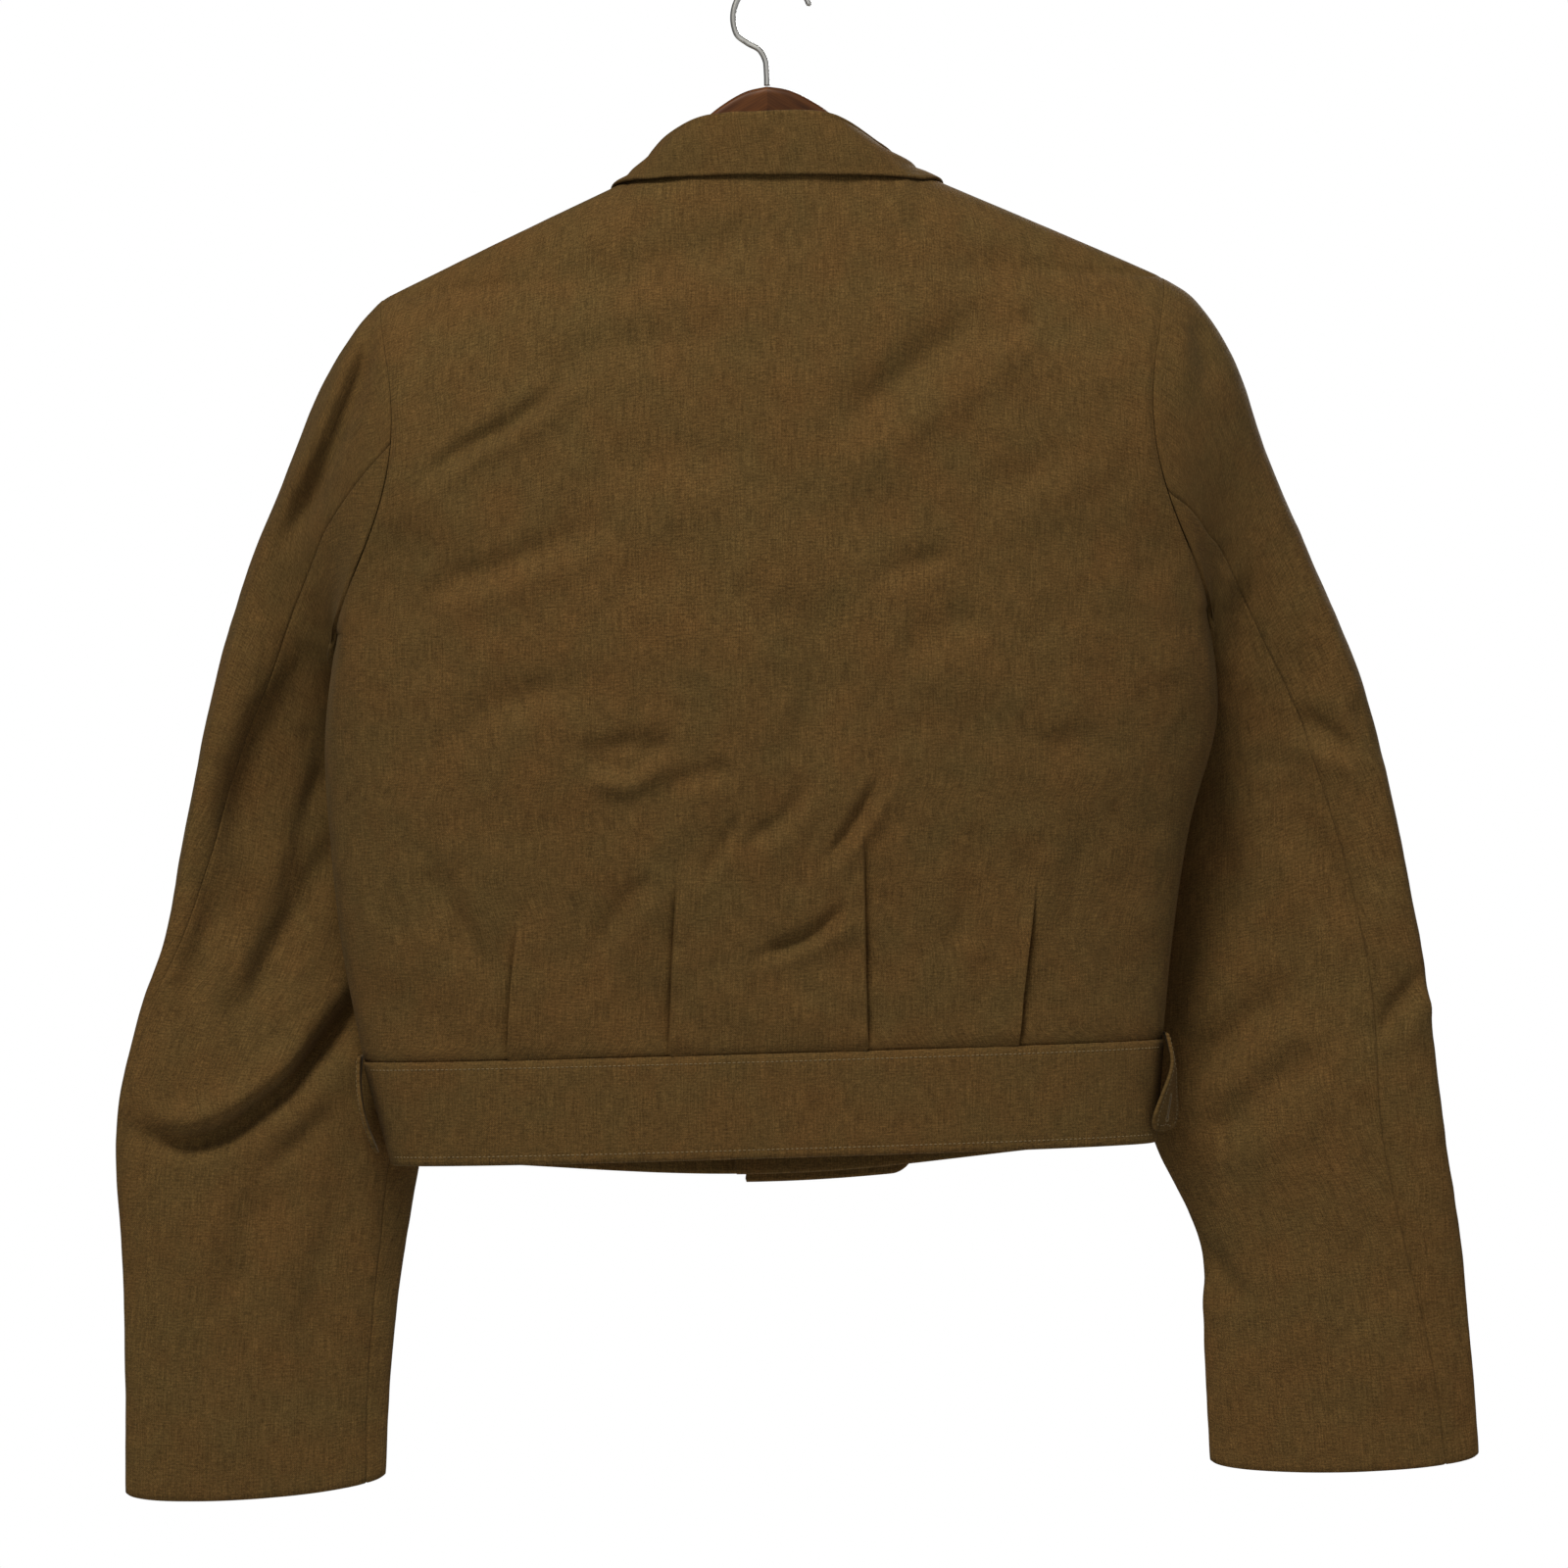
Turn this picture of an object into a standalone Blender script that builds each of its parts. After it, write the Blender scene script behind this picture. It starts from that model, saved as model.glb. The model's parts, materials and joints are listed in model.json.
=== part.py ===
"""An ike jacket hung empty on a wooden hanger. Metres, +Z up; the jacket's back faces -Y, so the wearer's
left is at -X. The origin is the top of the hook's inside, where a rail would touch it."""
import math
from collections import namedtuple

import bmesh
import bpy
import numpy as np

# Cloth
CLOTH = 0.002
BAND_CLOTH = 0.003
SEAM_GAP = 0.0003
LAY_GAP = 0.0007
TILT = 0.029                 # rise for each metre of x: the jacket hangs higher on its right

# Body, before the tilt
SHOULDER_X, SHOULDER_Z = 0.2225, -0.1755
UNDERARM_X, UNDERARM_Y, UNDERARM_Z = 0.250, 0.003, -0.366
WAIST_Z = -0.6105
BAND_HEIGHT = 0.058
ARMHOLE_BACK, ARMHOLE_FRONT = 0.058, 0.050
ARMHOLE_INSET = 0.020        # how far the armhole seam cuts into the panels at half height
NECK_X = 0.080
NECK_RISE = 0.004
FLATNESS = 2.4               # 2 is an ellipse; more is squarer

# Station 0 is the shoulder seam, 1 the underarm and 2 the waist seam
Centre = namedtuple("Centre", "station back_y back_z front_y front_z")
CENTRES = [
    Centre(0.00, -0.041, -0.110, 0.030, -0.110),
    Centre(0.20, -0.051, -0.150, 0.045, -0.150),
    Centre(0.50, -0.070, -0.235, 0.060, -0.235),
    Centre(0.80, -0.078, -0.325, 0.067, -0.325),
    Centre(1.00, -0.080, -0.372, 0.069, -0.374),
    Centre(1.25, -0.078, -0.430, 0.069, -0.434),
    Centre(1.50, -0.072, -0.490, 0.065, -0.496),
    Centre(1.75, -0.063, -0.550, 0.059, -0.559),
    Centre(2.00, -0.056, -0.6105, 0.054, -0.6245),
]
Side = namedtuple("Side", "station left right")
SIDES = [
    Side(1.00, 0.2500, 0.2500),
    Side(1.25, 0.2560, 0.2545),
    Side(1.50, 0.2525, 0.2390),
    Side(1.75, 0.2455, 0.2295),
    Side(2.00, 0.2335, 0.2235),
]
BAND_LEFT, BAND_RIGHT = 0.0160, 0.0040      # how far the band's ends draw in towards the hem
BAND_OUT = 0.001             # the band stands this far out from the body's cloth
BAND_TAPER = 0.003

# Pressed tucks of the back: foot on the waist seam, top where the cloth is let go; the columns of the grid that
# follow a tuck run on to the shoulder, at a multiple of the neck's half width
Tuck = namedtuple("Tuck", "foot_x top_x top_station height shoulder")
TUCKS = [
    Tuck(-0.1500, -0.1420, 1.67, 0.0030, -5 / 3),
    Tuck(-0.0580, -0.0520, 1.56, 0.0032, -5 / 9),
    Tuck(0.0540, 0.0515, 1.47, 0.0034, 5 / 9),
    Tuck(0.1395, 0.1505, 1.61, 0.0030, 5 / 3),
]
TUCK_FOLD = 0.0012           # width of the step at a tuck's edge
TUCK_LAP = 0.022
TUCK_DIP = 0.35
TUCK_RELEASE = 0.28

# A fold is a trough along a bowed line, seen from behind, with a ridge on the line's right
Fold = namedtuple("Fold", "x0 z0 x1 z1 width depth bow")
BACK_FOLDS = [
    Fold(-0.208, -0.293, -0.135, -0.242, 0.010, 0.0032, 0.006),
    Fold(0.041, -0.256, 0.134, -0.178, 0.015, 0.0036, 0.004),
    Fold(-0.147, -0.330, -0.082, -0.309, 0.011, 0.0024, 0.003),
    Fold(0.060, -0.339, 0.098, -0.323, 0.010, 0.0020, 0.002),
    Fold(-0.109, -0.461, -0.053, -0.435, 0.010, 0.0030, 0.003),
    Fold(-0.014, -0.558, 0.049, -0.512, 0.010, 0.0040, -0.004),
    Fold(0.013, -0.508, 0.060, -0.450, 0.010, 0.0030, -0.003),
    Fold(-0.057, -0.511, -0.019, -0.479, 0.009, 0.0022, 0.002),
]
LEFT_SLEEVE_FOLDS = [
    Fold(-0.221, -0.203, -0.287, -0.320, 0.008, 0.0050, -0.006),
    Fold(-0.228, -0.580, -0.376, -0.666, 0.013, 0.0090, -0.014),
    Fold(-0.289, -0.680, -0.311, -0.764, 0.014, 0.0030, 0.003),
    Fold(-0.262, -0.480, -0.300, -0.600, 0.014, 0.0035, 0.004),
]
RIGHT_SLEEVE_FOLDS = [
    Fold(0.238, -0.190, 0.248, -0.236, 0.008, 0.0030, 0.002),
    Fold(0.240, -0.664, 0.318, -0.596, 0.017, 0.0055, 0.006),
    Fold(0.355, -0.607, 0.378, -0.562, 0.009, 0.0045, 0.002),
    Fold(0.250, -0.728, 0.272, -0.759, 0.009, 0.0030, 0.002),
]

# Sleeve sections from the armhole to the cuff: outer and inner edge, half depths behind and before the line
# between them, the way the back of the section faces (degrees towards the body), the armhole's inset, and the
# hind-arm and fore-arm seams (degrees round from the outer edge by way of the back)
Section = namedtuple("Section", "out_x out_y out_z in_x in_y in_z back front facing inset hind fore")
ARMHOLE = (SHOULDER_X, 0.0, SHOULDER_Z, UNDERARM_X, UNDERARM_Y, UNDERARM_Z, ARMHOLE_BACK, ARMHOLE_FRONT)
LEFT_SLEEVE = [
    Section(*ARMHOLE, 0, ARMHOLE_INSET, 108, 252),
    Section(0.2380, 0.000, -0.1930, 0.2545, 0.008, -0.3726, 0.052, 0.052, 3, 0.012, 93, 242),
    Section(0.2580, 0.000, -0.2255, 0.2570, 0.017, -0.3806, 0.043, 0.053, 8, 0.005, 80, 231),
    Section(0.2745, 0.000, -0.2690, 0.2550, 0.030, -0.3926, 0.033, 0.052, 15, 0.000, 72, 223),
    Section(0.2965, 0.002, -0.3283, 0.2470, 0.048, -0.4229, 0.023, 0.050, 25, 0.000, 65, 213),
    Section(0.3152, 0.004, -0.3958, 0.2330, 0.064, -0.4633, 0.018, 0.046, 33, 0.000, 53, 201),
    Section(0.3318, 0.006, -0.4683, 0.2180, 0.073, -0.5137, 0.018, 0.042, 31, 0.000, 40, 188),
    Section(0.3455, 0.009, -0.5330, 0.2080, 0.073, -0.5660, 0.020, 0.038, 26, 0.000, 25, 171),
    Section(0.3625, 0.012, -0.5815, 0.2030, 0.067, -0.6060, 0.022, 0.036, 20, 0.000, 15, 156),
    Section(0.3760, 0.015, -0.6440, 0.2025, 0.059, -0.6590, 0.023, 0.032, 15, 0.000, 11, 141),
    Section(0.3735, 0.018, -0.7090, 0.2118, 0.053, -0.7160, 0.020, 0.026, 12, 0.000, 2, 143),
    Section(0.3715, 0.020, -0.7790, 0.2198, 0.049, -0.7817, 0.017, 0.021, 10, 0.000, -5, 145),
    Section(0.3715, 0.022, -0.8545, 0.2230, 0.047, -0.8500, 0.014, 0.017, 9, 0.000, -8, 147),
]
RIGHT_SLEEVE = [
    Section(*ARMHOLE, 0, ARMHOLE_INSET, 108, 252),
    Section(0.2430, 0.000, -0.1910, 0.2545, 0.008, -0.3754, 0.052, 0.052, 3, 0.012, 107, 247),
    Section(0.2650, 0.000, -0.2267, 0.2570, 0.017, -0.3854, 0.043, 0.053, 8, 0.005, 103, 242),
    Section(0.2825, 0.000, -0.2822, 0.2560, 0.030, -0.3994, 0.033, 0.052, 15, 0.000, 88, 237),
    Section(0.3098, 0.002, -0.3500, 0.2490, 0.047, -0.4322, 0.023, 0.050, 25, 0.000, 74, 231),
    Section(0.3352, 0.004, -0.4148, 0.2390, 0.061, -0.4750, 0.018, 0.046, 31, 0.000, 62, 225),
    Section(0.3548, 0.006, -0.4883, 0.2270, 0.069, -0.5265, 0.018, 0.042, 29, 0.000, 53, 220),
    Section(0.3690, 0.009, -0.5537, 0.2180, 0.069, -0.5783, 0.020, 0.038, 24, 0.000, 48, 216),
    Section(0.3770, 0.012, -0.6030, 0.2125, 0.064, -0.6180, 0.022, 0.036, 18, 0.000, 48, 213),
    Section(0.3845, 0.015, -0.6660, 0.2195, 0.057, -0.6683, 0.023, 0.032, 14, 0.000, 52, 211),
    Section(0.3945, 0.018, -0.7314, 0.2470, 0.051, -0.7310, 0.020, 0.026, 12, 0.000, 53, 209),
    Section(0.4018, 0.020, -0.8016, 0.2495, 0.047, -0.7950, 0.017, 0.021, 10, 0.000, 44, 207),
    Section(0.4057, 0.022, -0.8545, 0.2525, 0.045, -0.8555, 0.014, 0.017, 9, 0.000, 40, 205),
]
CUFF_SAG = 0.008

# Collar from the middle of the back to the end at the lapel: foot of the stand, roll and edge of the fall
Station = namedtuple("Station", "at foot_x foot_y foot_z roll_x roll_y roll_z edge_x edge_y edge_z")
COLLAR = [
    Station(0.00, 0.000, -0.0395, -0.1052, 0.000, -0.0450, -0.0810, 0.000, -0.0490, -0.1140),
    Station(0.18, 0.027, -0.0370, -0.1054, 0.0235, -0.0425, -0.0810, 0.041, -0.0465, -0.1140),
    Station(0.34, 0.054, -0.0290, -0.1066, 0.0395, -0.0350, -0.0836, 0.0705, -0.0380, -0.1145),
    Station(0.52, 0.0750, -0.0080, -0.1078, 0.0575, -0.0080, -0.0945, 0.0885, -0.0070, -0.1140),
    Station(0.68, 0.0740, 0.0140, -0.1095, 0.0705, 0.0170, -0.1060, 0.108, 0.0260, -0.1360),
    Station(0.84, 0.0650, 0.0320, -0.1360, 0.0650, 0.0400, -0.1320, 0.119, 0.0480, -0.1720),
    Station(1.00, 0.0565, 0.0400, -0.1570, 0.0570, 0.0500, -0.1540, 0.115, 0.0560, -0.2020),
]
COLLAR_ROLL = 0.0022         # radius of the roll
COLLAR_LIFT = 0.0028         # the middle of the fall's cloth lies at least this far above the body

# Fronts, lapels and pockets, in the plane of the front
BREAK_Z = -0.340             # the lapels turn back above this height
EDGE_OVER = 0.022            # each front reaches this far past the middle
UNDERLAP = 0.006             # the right front lies this far in behind the left one
UNDERLAP_FADE = 0.085
Lapel = namedtuple("Lapel", "z width")
LAPEL = [
    Lapel(-0.170, 0.054),
    Lapel(-0.200, 0.064),
    Lapel(-0.240, 0.060),
    Lapel(-0.285, 0.042),
    Lapel(-0.330, 0.012),
]
POCKET_X, POCKET_WIDTH = 0.126, 0.104
POCKET_TOP, POCKET_HEIGHT = -0.272, 0.136
FLAP_TOP, FLAP_HEIGHT, FLAP_WIDTH = -0.262, 0.052, 0.108
FLAP_POINT = 0.010

# Belt tab and side tabs
WAIST_TAB_X, WAIST_TAB_LENGTH, WAIST_TAB_HEIGHT = -0.016, 0.100, 0.046
WAIST_TAB_DROP = 0.005       # how far its lower edge hangs below the band's
WAIST_TAB_SLANT = 0.008
BUTTON_RADIUS, BUTTON_THICK, BUTTON_HOLE = 0.010, 0.003, 0.0013
BUTTON_X = 0.062
SIDE_TAB_LENGTH, SIDE_TAB_WIDTH = 0.055, 0.034
SideTab = namedtuple("SideTab", "down out_left back_left turn_left out_right back_right turn_right")
SIDE_TABS = [
    SideTab(0.00, 0.0002, 0.002, 0, -0.0003, 0.000, 0),
    SideTab(0.30, 0.0055, 0.001, 2, 0.0045, -0.002, 4),
    SideTab(0.65, 0.0080, 0.000, 3, 0.0040, -0.006, 14),
    SideTab(1.00, 0.0065, 0.000, 2, 0.0040, -0.008, 26),
]

# Hanger
HANGER_THICK, HANGER_ROUND = 0.014, 0.003
HANGER_REACH = 0.204
HANGER_SEAT = 0.0009         # clearance under the shoulder seam
HumpPoint = namedtuple("HumpPoint", "x z")
HANGER_HUMP = [HumpPoint(0.0, -0.0600), HumpPoint(0.0125, -0.0615), HumpPoint(0.0250, -0.0668),
               HumpPoint(0.0350, -0.0740), HumpPoint(0.0500, -0.0935), HumpPoint(0.0640, -0.1085),
               HumpPoint(0.0800, -0.1165), HumpPoint(0.1000, -0.1224)]
HANGER_HEIGHT, HANGER_TIP_HEIGHT = 0.050, 0.022
HOOK_RADIUS, HOOK_WIRE = 0.0224, 0.0017
HOOK_TIP_ANGLE, HOOK_TAIL_ANGLE = 17, 205
HookTail = namedtuple("HookTail", "x z")
HOOK_TAIL = [HookTail(-0.0142, -0.0352), HookTail(-0.0070, -0.0395), HookTail(-0.0040, -0.0450),
             HookTail(-0.0032, -0.0520), HookTail(-0.0030, -0.0596)]

# How finely the grids are cut
ARMHOLE_ROWS = [0, 0.02, 0.06, 0.12, 0.2, 0.3, 0.4, 0.5, 0.6, 0.7, 0.8, 0.9, 1.0]
BACK_ROWS = ARMHOLE_ROWS + [1.1, 1.2, 1.3, 1.4, 1.5, 1.57, 1.64, 1.71, 1.78, 1.86, 1.93, 2.0]
BACK_GAPS = (5, 5, 6, 5, 5)  # columns between the side seams and the tucks
FRONT_ROWS = ARMHOLE_ROWS + [1.12, 1.25, 1.38, 1.52, 1.68, 1.84, 2.0]
FRONT_COLUMNS = 11
SEAM_STATION = 0.6           # where the sleeve's own seams meet the armhole
SLEEVE_ROWS = 25
BAND_ROWS = 3
COLLAR_COLUMNS = 29

LEFT, RIGHT = -1, 1
BACK, FRONT = -1, 1


def columns(table):
    """A table's rows turned into one array for each named column."""
    return type(table[0])(*(np.array(column, float) for column in zip(*table)))


def smooth(at, stations, values):
    """A cubic through values at their stations, each slope taken from the neighbours."""
    slopes = np.gradient(values, stations)
    at = np.clip(at, stations[0], stations[-1])
    i = np.clip(np.searchsorted(stations, at, side="right") - 1, 0, len(stations) - 2)
    span = stations[i + 1] - stations[i]
    t = (at - stations[i]) / span
    start = values[i] * (2 * t ** 3 - 3 * t ** 2 + 1) + span * slopes[i] * (t ** 3 - 2 * t ** 2 + t)
    return start + values[i + 1] * (3 * t ** 2 - 2 * t ** 3) + span * slopes[i + 1] * (t ** 3 - t ** 2)


def ease(t):
    """0 to 1 with flat ends."""
    t = np.clip(t, 0, 1)
    return t * t * (3 - 2 * t)


def unit(vectors):
    """Vectors brought to length 1."""
    return vectors / np.linalg.norm(vectors, axis=-1, keepdims=True)


def tilted(x, y, z):
    """Points from their coordinates, with the jacket's tilt."""
    return np.stack(np.broadcast_arrays(x, y, z + TILT * x), axis=-1)


def normals(surface, u, v, step=1e-4):
    """Unit normals of surface(u, v), from short steps either way."""
    du = surface(u + step, v) - surface(u - step, v)
    dv = surface(u, v + step) - surface(u, v - step)
    return unit(np.cross(du, dv))


def armhole_edge(face, station):
    """The armhole seam's x, y and z from the shoulder point (0) to the underarm (1)."""
    turn = math.pi * np.clip(station, 0, 1)
    depth = ARMHOLE_BACK if face == BACK else ARMHOLE_FRONT
    x = (SHOULDER_X + UNDERARM_X) / 2 + (SHOULDER_X - UNDERARM_X) / 2 * np.cos(turn)
    y = UNDERARM_Y / 2 - UNDERARM_Y / 2 * np.cos(turn) + face * depth * np.sin(turn)
    z = (SHOULDER_Z + UNDERARM_Z) / 2 + (SHOULDER_Z - UNDERARM_Z) / 2 * np.cos(turn)
    return x - ARMHOLE_INSET * np.sin(turn) ** 3, y, z


def armhole_normal(side, turn):
    """The way the cloth faces on the armhole seam, shared by the panels and the sleeve."""
    depth = np.where(np.sin(turn) > 0, ARMHOLE_BACK, ARMHOLE_FRONT)
    low = np.sin(turn / 2) ** 2
    x = side * low * 0.006 * np.ones_like(turn)
    return unit(np.stack([x, -np.sin(turn) * 0.001 / depth, np.cos(turn) * 0.002 / (SHOULDER_Z - UNDERARM_Z)], -1))


def body_edge(face, station, side):
    """The outer edge of a panel: armhole seam, then side seam."""
    x, y, z = armhole_edge(face, station)
    sides = columns(SIDES)
    half = np.where(side < 0, smooth(station, sides.station, sides.left), smooth(station, sides.station, sides.right))
    below = np.clip(station - 1, 0, 1)
    return np.where(station < 1, x, half), y, z + (WAIST_Z - UNDERARM_Z) * below


def body(face, station, across):
    """A point of the body's cloth; across is -1 at the left edge, 0 in the middle and 1 at the right edge."""
    station, across = np.broadcast_arrays(np.clip(station, 0, 2), np.clip(across, -1, 1))
    centre = columns(CENTRES)
    edge_x, edge_y, edge_z = body_edge(face, station, np.sign(across))
    mid_y = smooth(station, centre.station, centre.back_y if face == BACK else centre.front_y)
    mid_z = smooth(station, centre.station, centre.back_z if face == BACK else centre.front_z)
    reach = np.abs(across)
    bulge = np.clip(1 - reach ** FLATNESS, 0, 1) ** (1 - 0.5 * ease((station - 0.8) / 0.35))
    y = edge_y + (mid_y - edge_y) * bulge
    z = edge_z + (mid_z - edge_z) * (1 - reach ** 2) ** (1 + np.clip(station - 1, 0, 1))
    # the first rows follow the shoulder's slope and the neckline
    neck = NECK_X / edge_x
    hollow = np.sqrt(np.clip(1 - (reach / neck) ** 2, 0, 1))
    ridge_z = edge_z + (centre.back_z[0] - SHOULDER_Z) * np.clip((1 - reach) / (1 - neck), 0, 1)
    top = np.clip(1 - station / 0.45, 0, 1) ** 2
    y = y + (edge_y + (mid_y - edge_y) * hollow - y) * top
    z = z + (ridge_z + (mid_z + NECK_RISE - ridge_z) * hollow - z) * top
    return tilted(across * edge_x, y, z)


def fold_relief(x, z, folds):
    """How far folds move the cloth out."""
    relief = np.zeros_like(x)
    for fold in folds:
        run_x, run_z = fold.x1 - fold.x0, fold.z1 - fold.z0
        length = math.hypot(run_x, run_z)
        along = ((x - fold.x0) * run_x + (z - fold.z0) * run_z) / length ** 2
        across = ((x - fold.x0) * run_z - (z - fold.z0) * run_x) / length
        across = across - fold.bow * 4 * along * (1 - along)
        fade = ease(along / 0.3) * ease((1 - along) / 0.3)
        trough = np.exp(-(across / fold.width) ** 2)
        ridge = 0.6 * np.exp(-((across - 1.8 * fold.width) / (1.3 * fold.width)) ** 2)
        relief = relief + fold.depth * fade * (ridge - trough)
    return relief


def half_width(station, side):
    """How far the side seam or armhole seam is from the middle."""
    return body_edge(BACK, np.asarray(station, float), side)[0]


def tuck_across(tuck, station):
    """Where a tuck's line crosses a row, as a share of the half width."""
    side = math.copysign(1, tuck.foot_x)
    top = tuck.top_x / half_width(tuck.top_station, side)
    foot = tuck.foot_x / half_width(2.0, side)
    return np.interp(station, [0.0, tuck.top_station, 2.0], [tuck.shoulder * NECK_X / SHOULDER_X, top, foot])


def tuck_relief(station, across):
    """How far the tucks move the back's cloth out: raised up to the fold's edge, dipped beyond it."""
    relief = np.zeros_like(across)
    for tuck in TUCKS:
        side = math.copysign(1, tuck.foot_x)
        out = (across - tuck_across(tuck, station)) * side * half_width(station, side)
        strength = tuck.height * ease((station - tuck.top_station) / TUCK_RELEASE)
        raised = np.exp(np.minimum(out, 0) / TUCK_LAP)
        dipped = -TUCK_DIP * np.exp(-np.maximum(out, 0) / (0.6 * TUCK_LAP))
        relief = relief + strength * np.where(out < 0, raised, dipped)
    return relief


def back_point(station, across):
    """The back before its folds and tucks."""
    return body(BACK, station, across)


def back_grid():
    """The back's outer points and the way each faces."""
    rows = []
    for station in BACK_ROWS:
        stops = [-1.0]
        for tuck in TUCKS:
            line = tuck_across(tuck, station)
            fold = TUCK_FOLD / half_width(station, math.copysign(1, tuck.foot_x))
            stops += [line - fold / 2, line + fold / 2]
        stops.append(1.0)
        row = []
        for gap, count in enumerate(BACK_GAPS):
            start, end = stops[2 * gap], stops[2 * gap + 1]
            t = np.linspace(0, 1, count + 1)
            if gap == 0:
                t = 0.2 * t + 0.8 * t ** 2
            if gap == len(BACK_GAPS) - 1:
                t = 1 - (0.2 * (1 - t) + 0.8 * (1 - t) ** 2)
            row += list(start + (end - start) * t)
        rows.append(row)
    across = np.array(rows)
    station = np.broadcast_to(np.array(BACK_ROWS)[:, None], across.shape)
    points = back_point(station, across)
    facing = panel_normals(BACK, station, across, back_point)
    edge = ease((1 - np.abs(across)) / 0.12)
    relief = fold_relief(points[..., 0], points[..., 2], BACK_FOLDS) * edge + tuck_relief(station, across)
    return points + facing * relief[..., None], facing


def panel_normals(face, station, across, surface):
    """Normals of a panel, turned at its seams to match its neighbours."""
    facing = normals(surface, station, across)
    facing = facing * np.sign(facing[..., 1:2] * face + 1e-3 * np.sign(facing[..., 2:3]))
    shoulder = station == 0
    neck = shoulder & (np.abs(across) * half_width(0.0, 1) < NECK_X - 1e-4)
    seam = (np.abs(across) > 1 - 1e-6) & (station > 1)
    facing[shoulder & ~neck, 1] = 0
    facing[neck, 2] = 0
    facing[seam, 1] = 0
    facing[station > 2 - 1e-6, 2] = 0
    facing = unit(facing)
    hole = (np.abs(across) > 1 - 1e-6) & (station <= 1)
    turn = math.pi * station[hole] * (-face)
    facing[hole] = armhole_normal(np.sign(across[hole]), turn)
    return facing


def inner_edge(side, station):
    """Where a front ends, as a share of the half width: the lapel's roll line, then the front edge."""
    centre = columns(CENTRES)
    z = smooth(station, centre.station, centre.front_z)
    past = np.clip((z - centre.front_z[0]) / (BREAK_Z - centre.front_z[0]), 0, 1)
    x = -NECK_X + (NECK_X + EDGE_OVER) * past
    return -side * x / half_width(station, side)


def front_point(side):
    """The surface of one front, the right one set in behind the left where they lap."""
    def surface(station, across):
        points = body(FRONT, station, across)
        if side == RIGHT:
            lap = ease(1 - (points[..., 0] - EDGE_OVER) / UNDERLAP_FADE) * ease((station - 0.05) / 0.2)
            points = points - lap[..., None] * np.array([0, UNDERLAP, 0])
        return points
    return surface


def front_grid(side):
    """A front's outer points and the way each faces."""
    station = np.repeat(np.array(FRONT_ROWS, float)[:, None], FRONT_COLUMNS + 1, axis=1)
    t = np.linspace(0, 1, FRONT_COLUMNS + 1)
    t = 0.15 * t + 0.85 * t ** 1.8
    inner = inner_edge(side, station)
    across = side + (inner - side) * t
    surface = front_point(side)
    return surface(station, across), panel_normals(FRONT, station, across, surface)


def front_at(side, x, z):
    """The point and facing of a front at x and z, found by halving the range of stations."""
    x, z = np.broadcast_arrays(np.asarray(x, float), np.asarray(z, float))
    low, high = np.zeros_like(x), np.full_like(x, 2.0)
    surface = front_point(side)
    for _ in range(30):
        middle = (low + high) / 2
        above = surface(middle, x / half_width(middle, side))[..., 2] > z
        low, high = np.where(above, middle, low), np.where(above, high, middle)
    across = x / half_width(low, side)
    facing = normals(surface, low, across)
    return surface(low, across), facing * np.sign(facing[..., 1:2])


def sleeve_point(side):
    """The surface of one sleeve and its seams: row 0 is the armhole, the last row the cuff; turn goes round from
    the outer edge by way of the back."""
    table = LEFT_SLEEVE if side == LEFT else RIGHT_SLEEVE
    folds = LEFT_SLEEVE_FOLDS if side == LEFT else RIGHT_SLEEVE_FOLDS
    section = columns(table)
    index = np.arange(len(table), dtype=float)

    def plain(row, turn):
        at = {name: smooth(row, index, getattr(section, name)) for name in section._fields}
        cos, sin = np.cos(turn), np.sin(turn)
        depth = np.where(sin > 0, at["back"], at["front"]) * sin
        facing = np.radians(at["facing"])
        x = (at["out_x"] + at["in_x"]) / 2 + (at["out_x"] - at["in_x"]) / 2 * cos
        x = x - at["inset"] * np.abs(sin) ** 3 - depth * np.sin(facing)
        y = (at["out_y"] + at["in_y"]) / 2 + (at["out_y"] - at["in_y"]) / 2 * cos - depth * np.cos(facing)
        z = (at["out_z"] + at["in_z"]) / 2 + (at["out_z"] - at["in_z"]) / 2 * cos
        z = z - CUFF_SAG * np.clip(sin, 0, 1) * ease((row - len(table) + 3) / 2)
        return tilted(side * (x + SEAM_GAP), y, z)

    def folded(row, turn):
        points = plain(row, turn)
        facing = normals(plain, row, turn) * -side
        relief = fold_relief(points[..., 0], points[..., 2], folds) * np.clip(-1.5 * facing[..., 1], 0, 1)
        relief = relief + fold_relief(points[..., 0], points[..., 2] - 0.022, folds) * np.clip(facing[..., 1], 0, 1)
        return points + facing * (relief * ease((row - 0.3) / 1.5))[..., None], facing

    def seam(row, name):
        return np.radians(smooth(row, index, getattr(section, name)))

    return folded, seam


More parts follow.
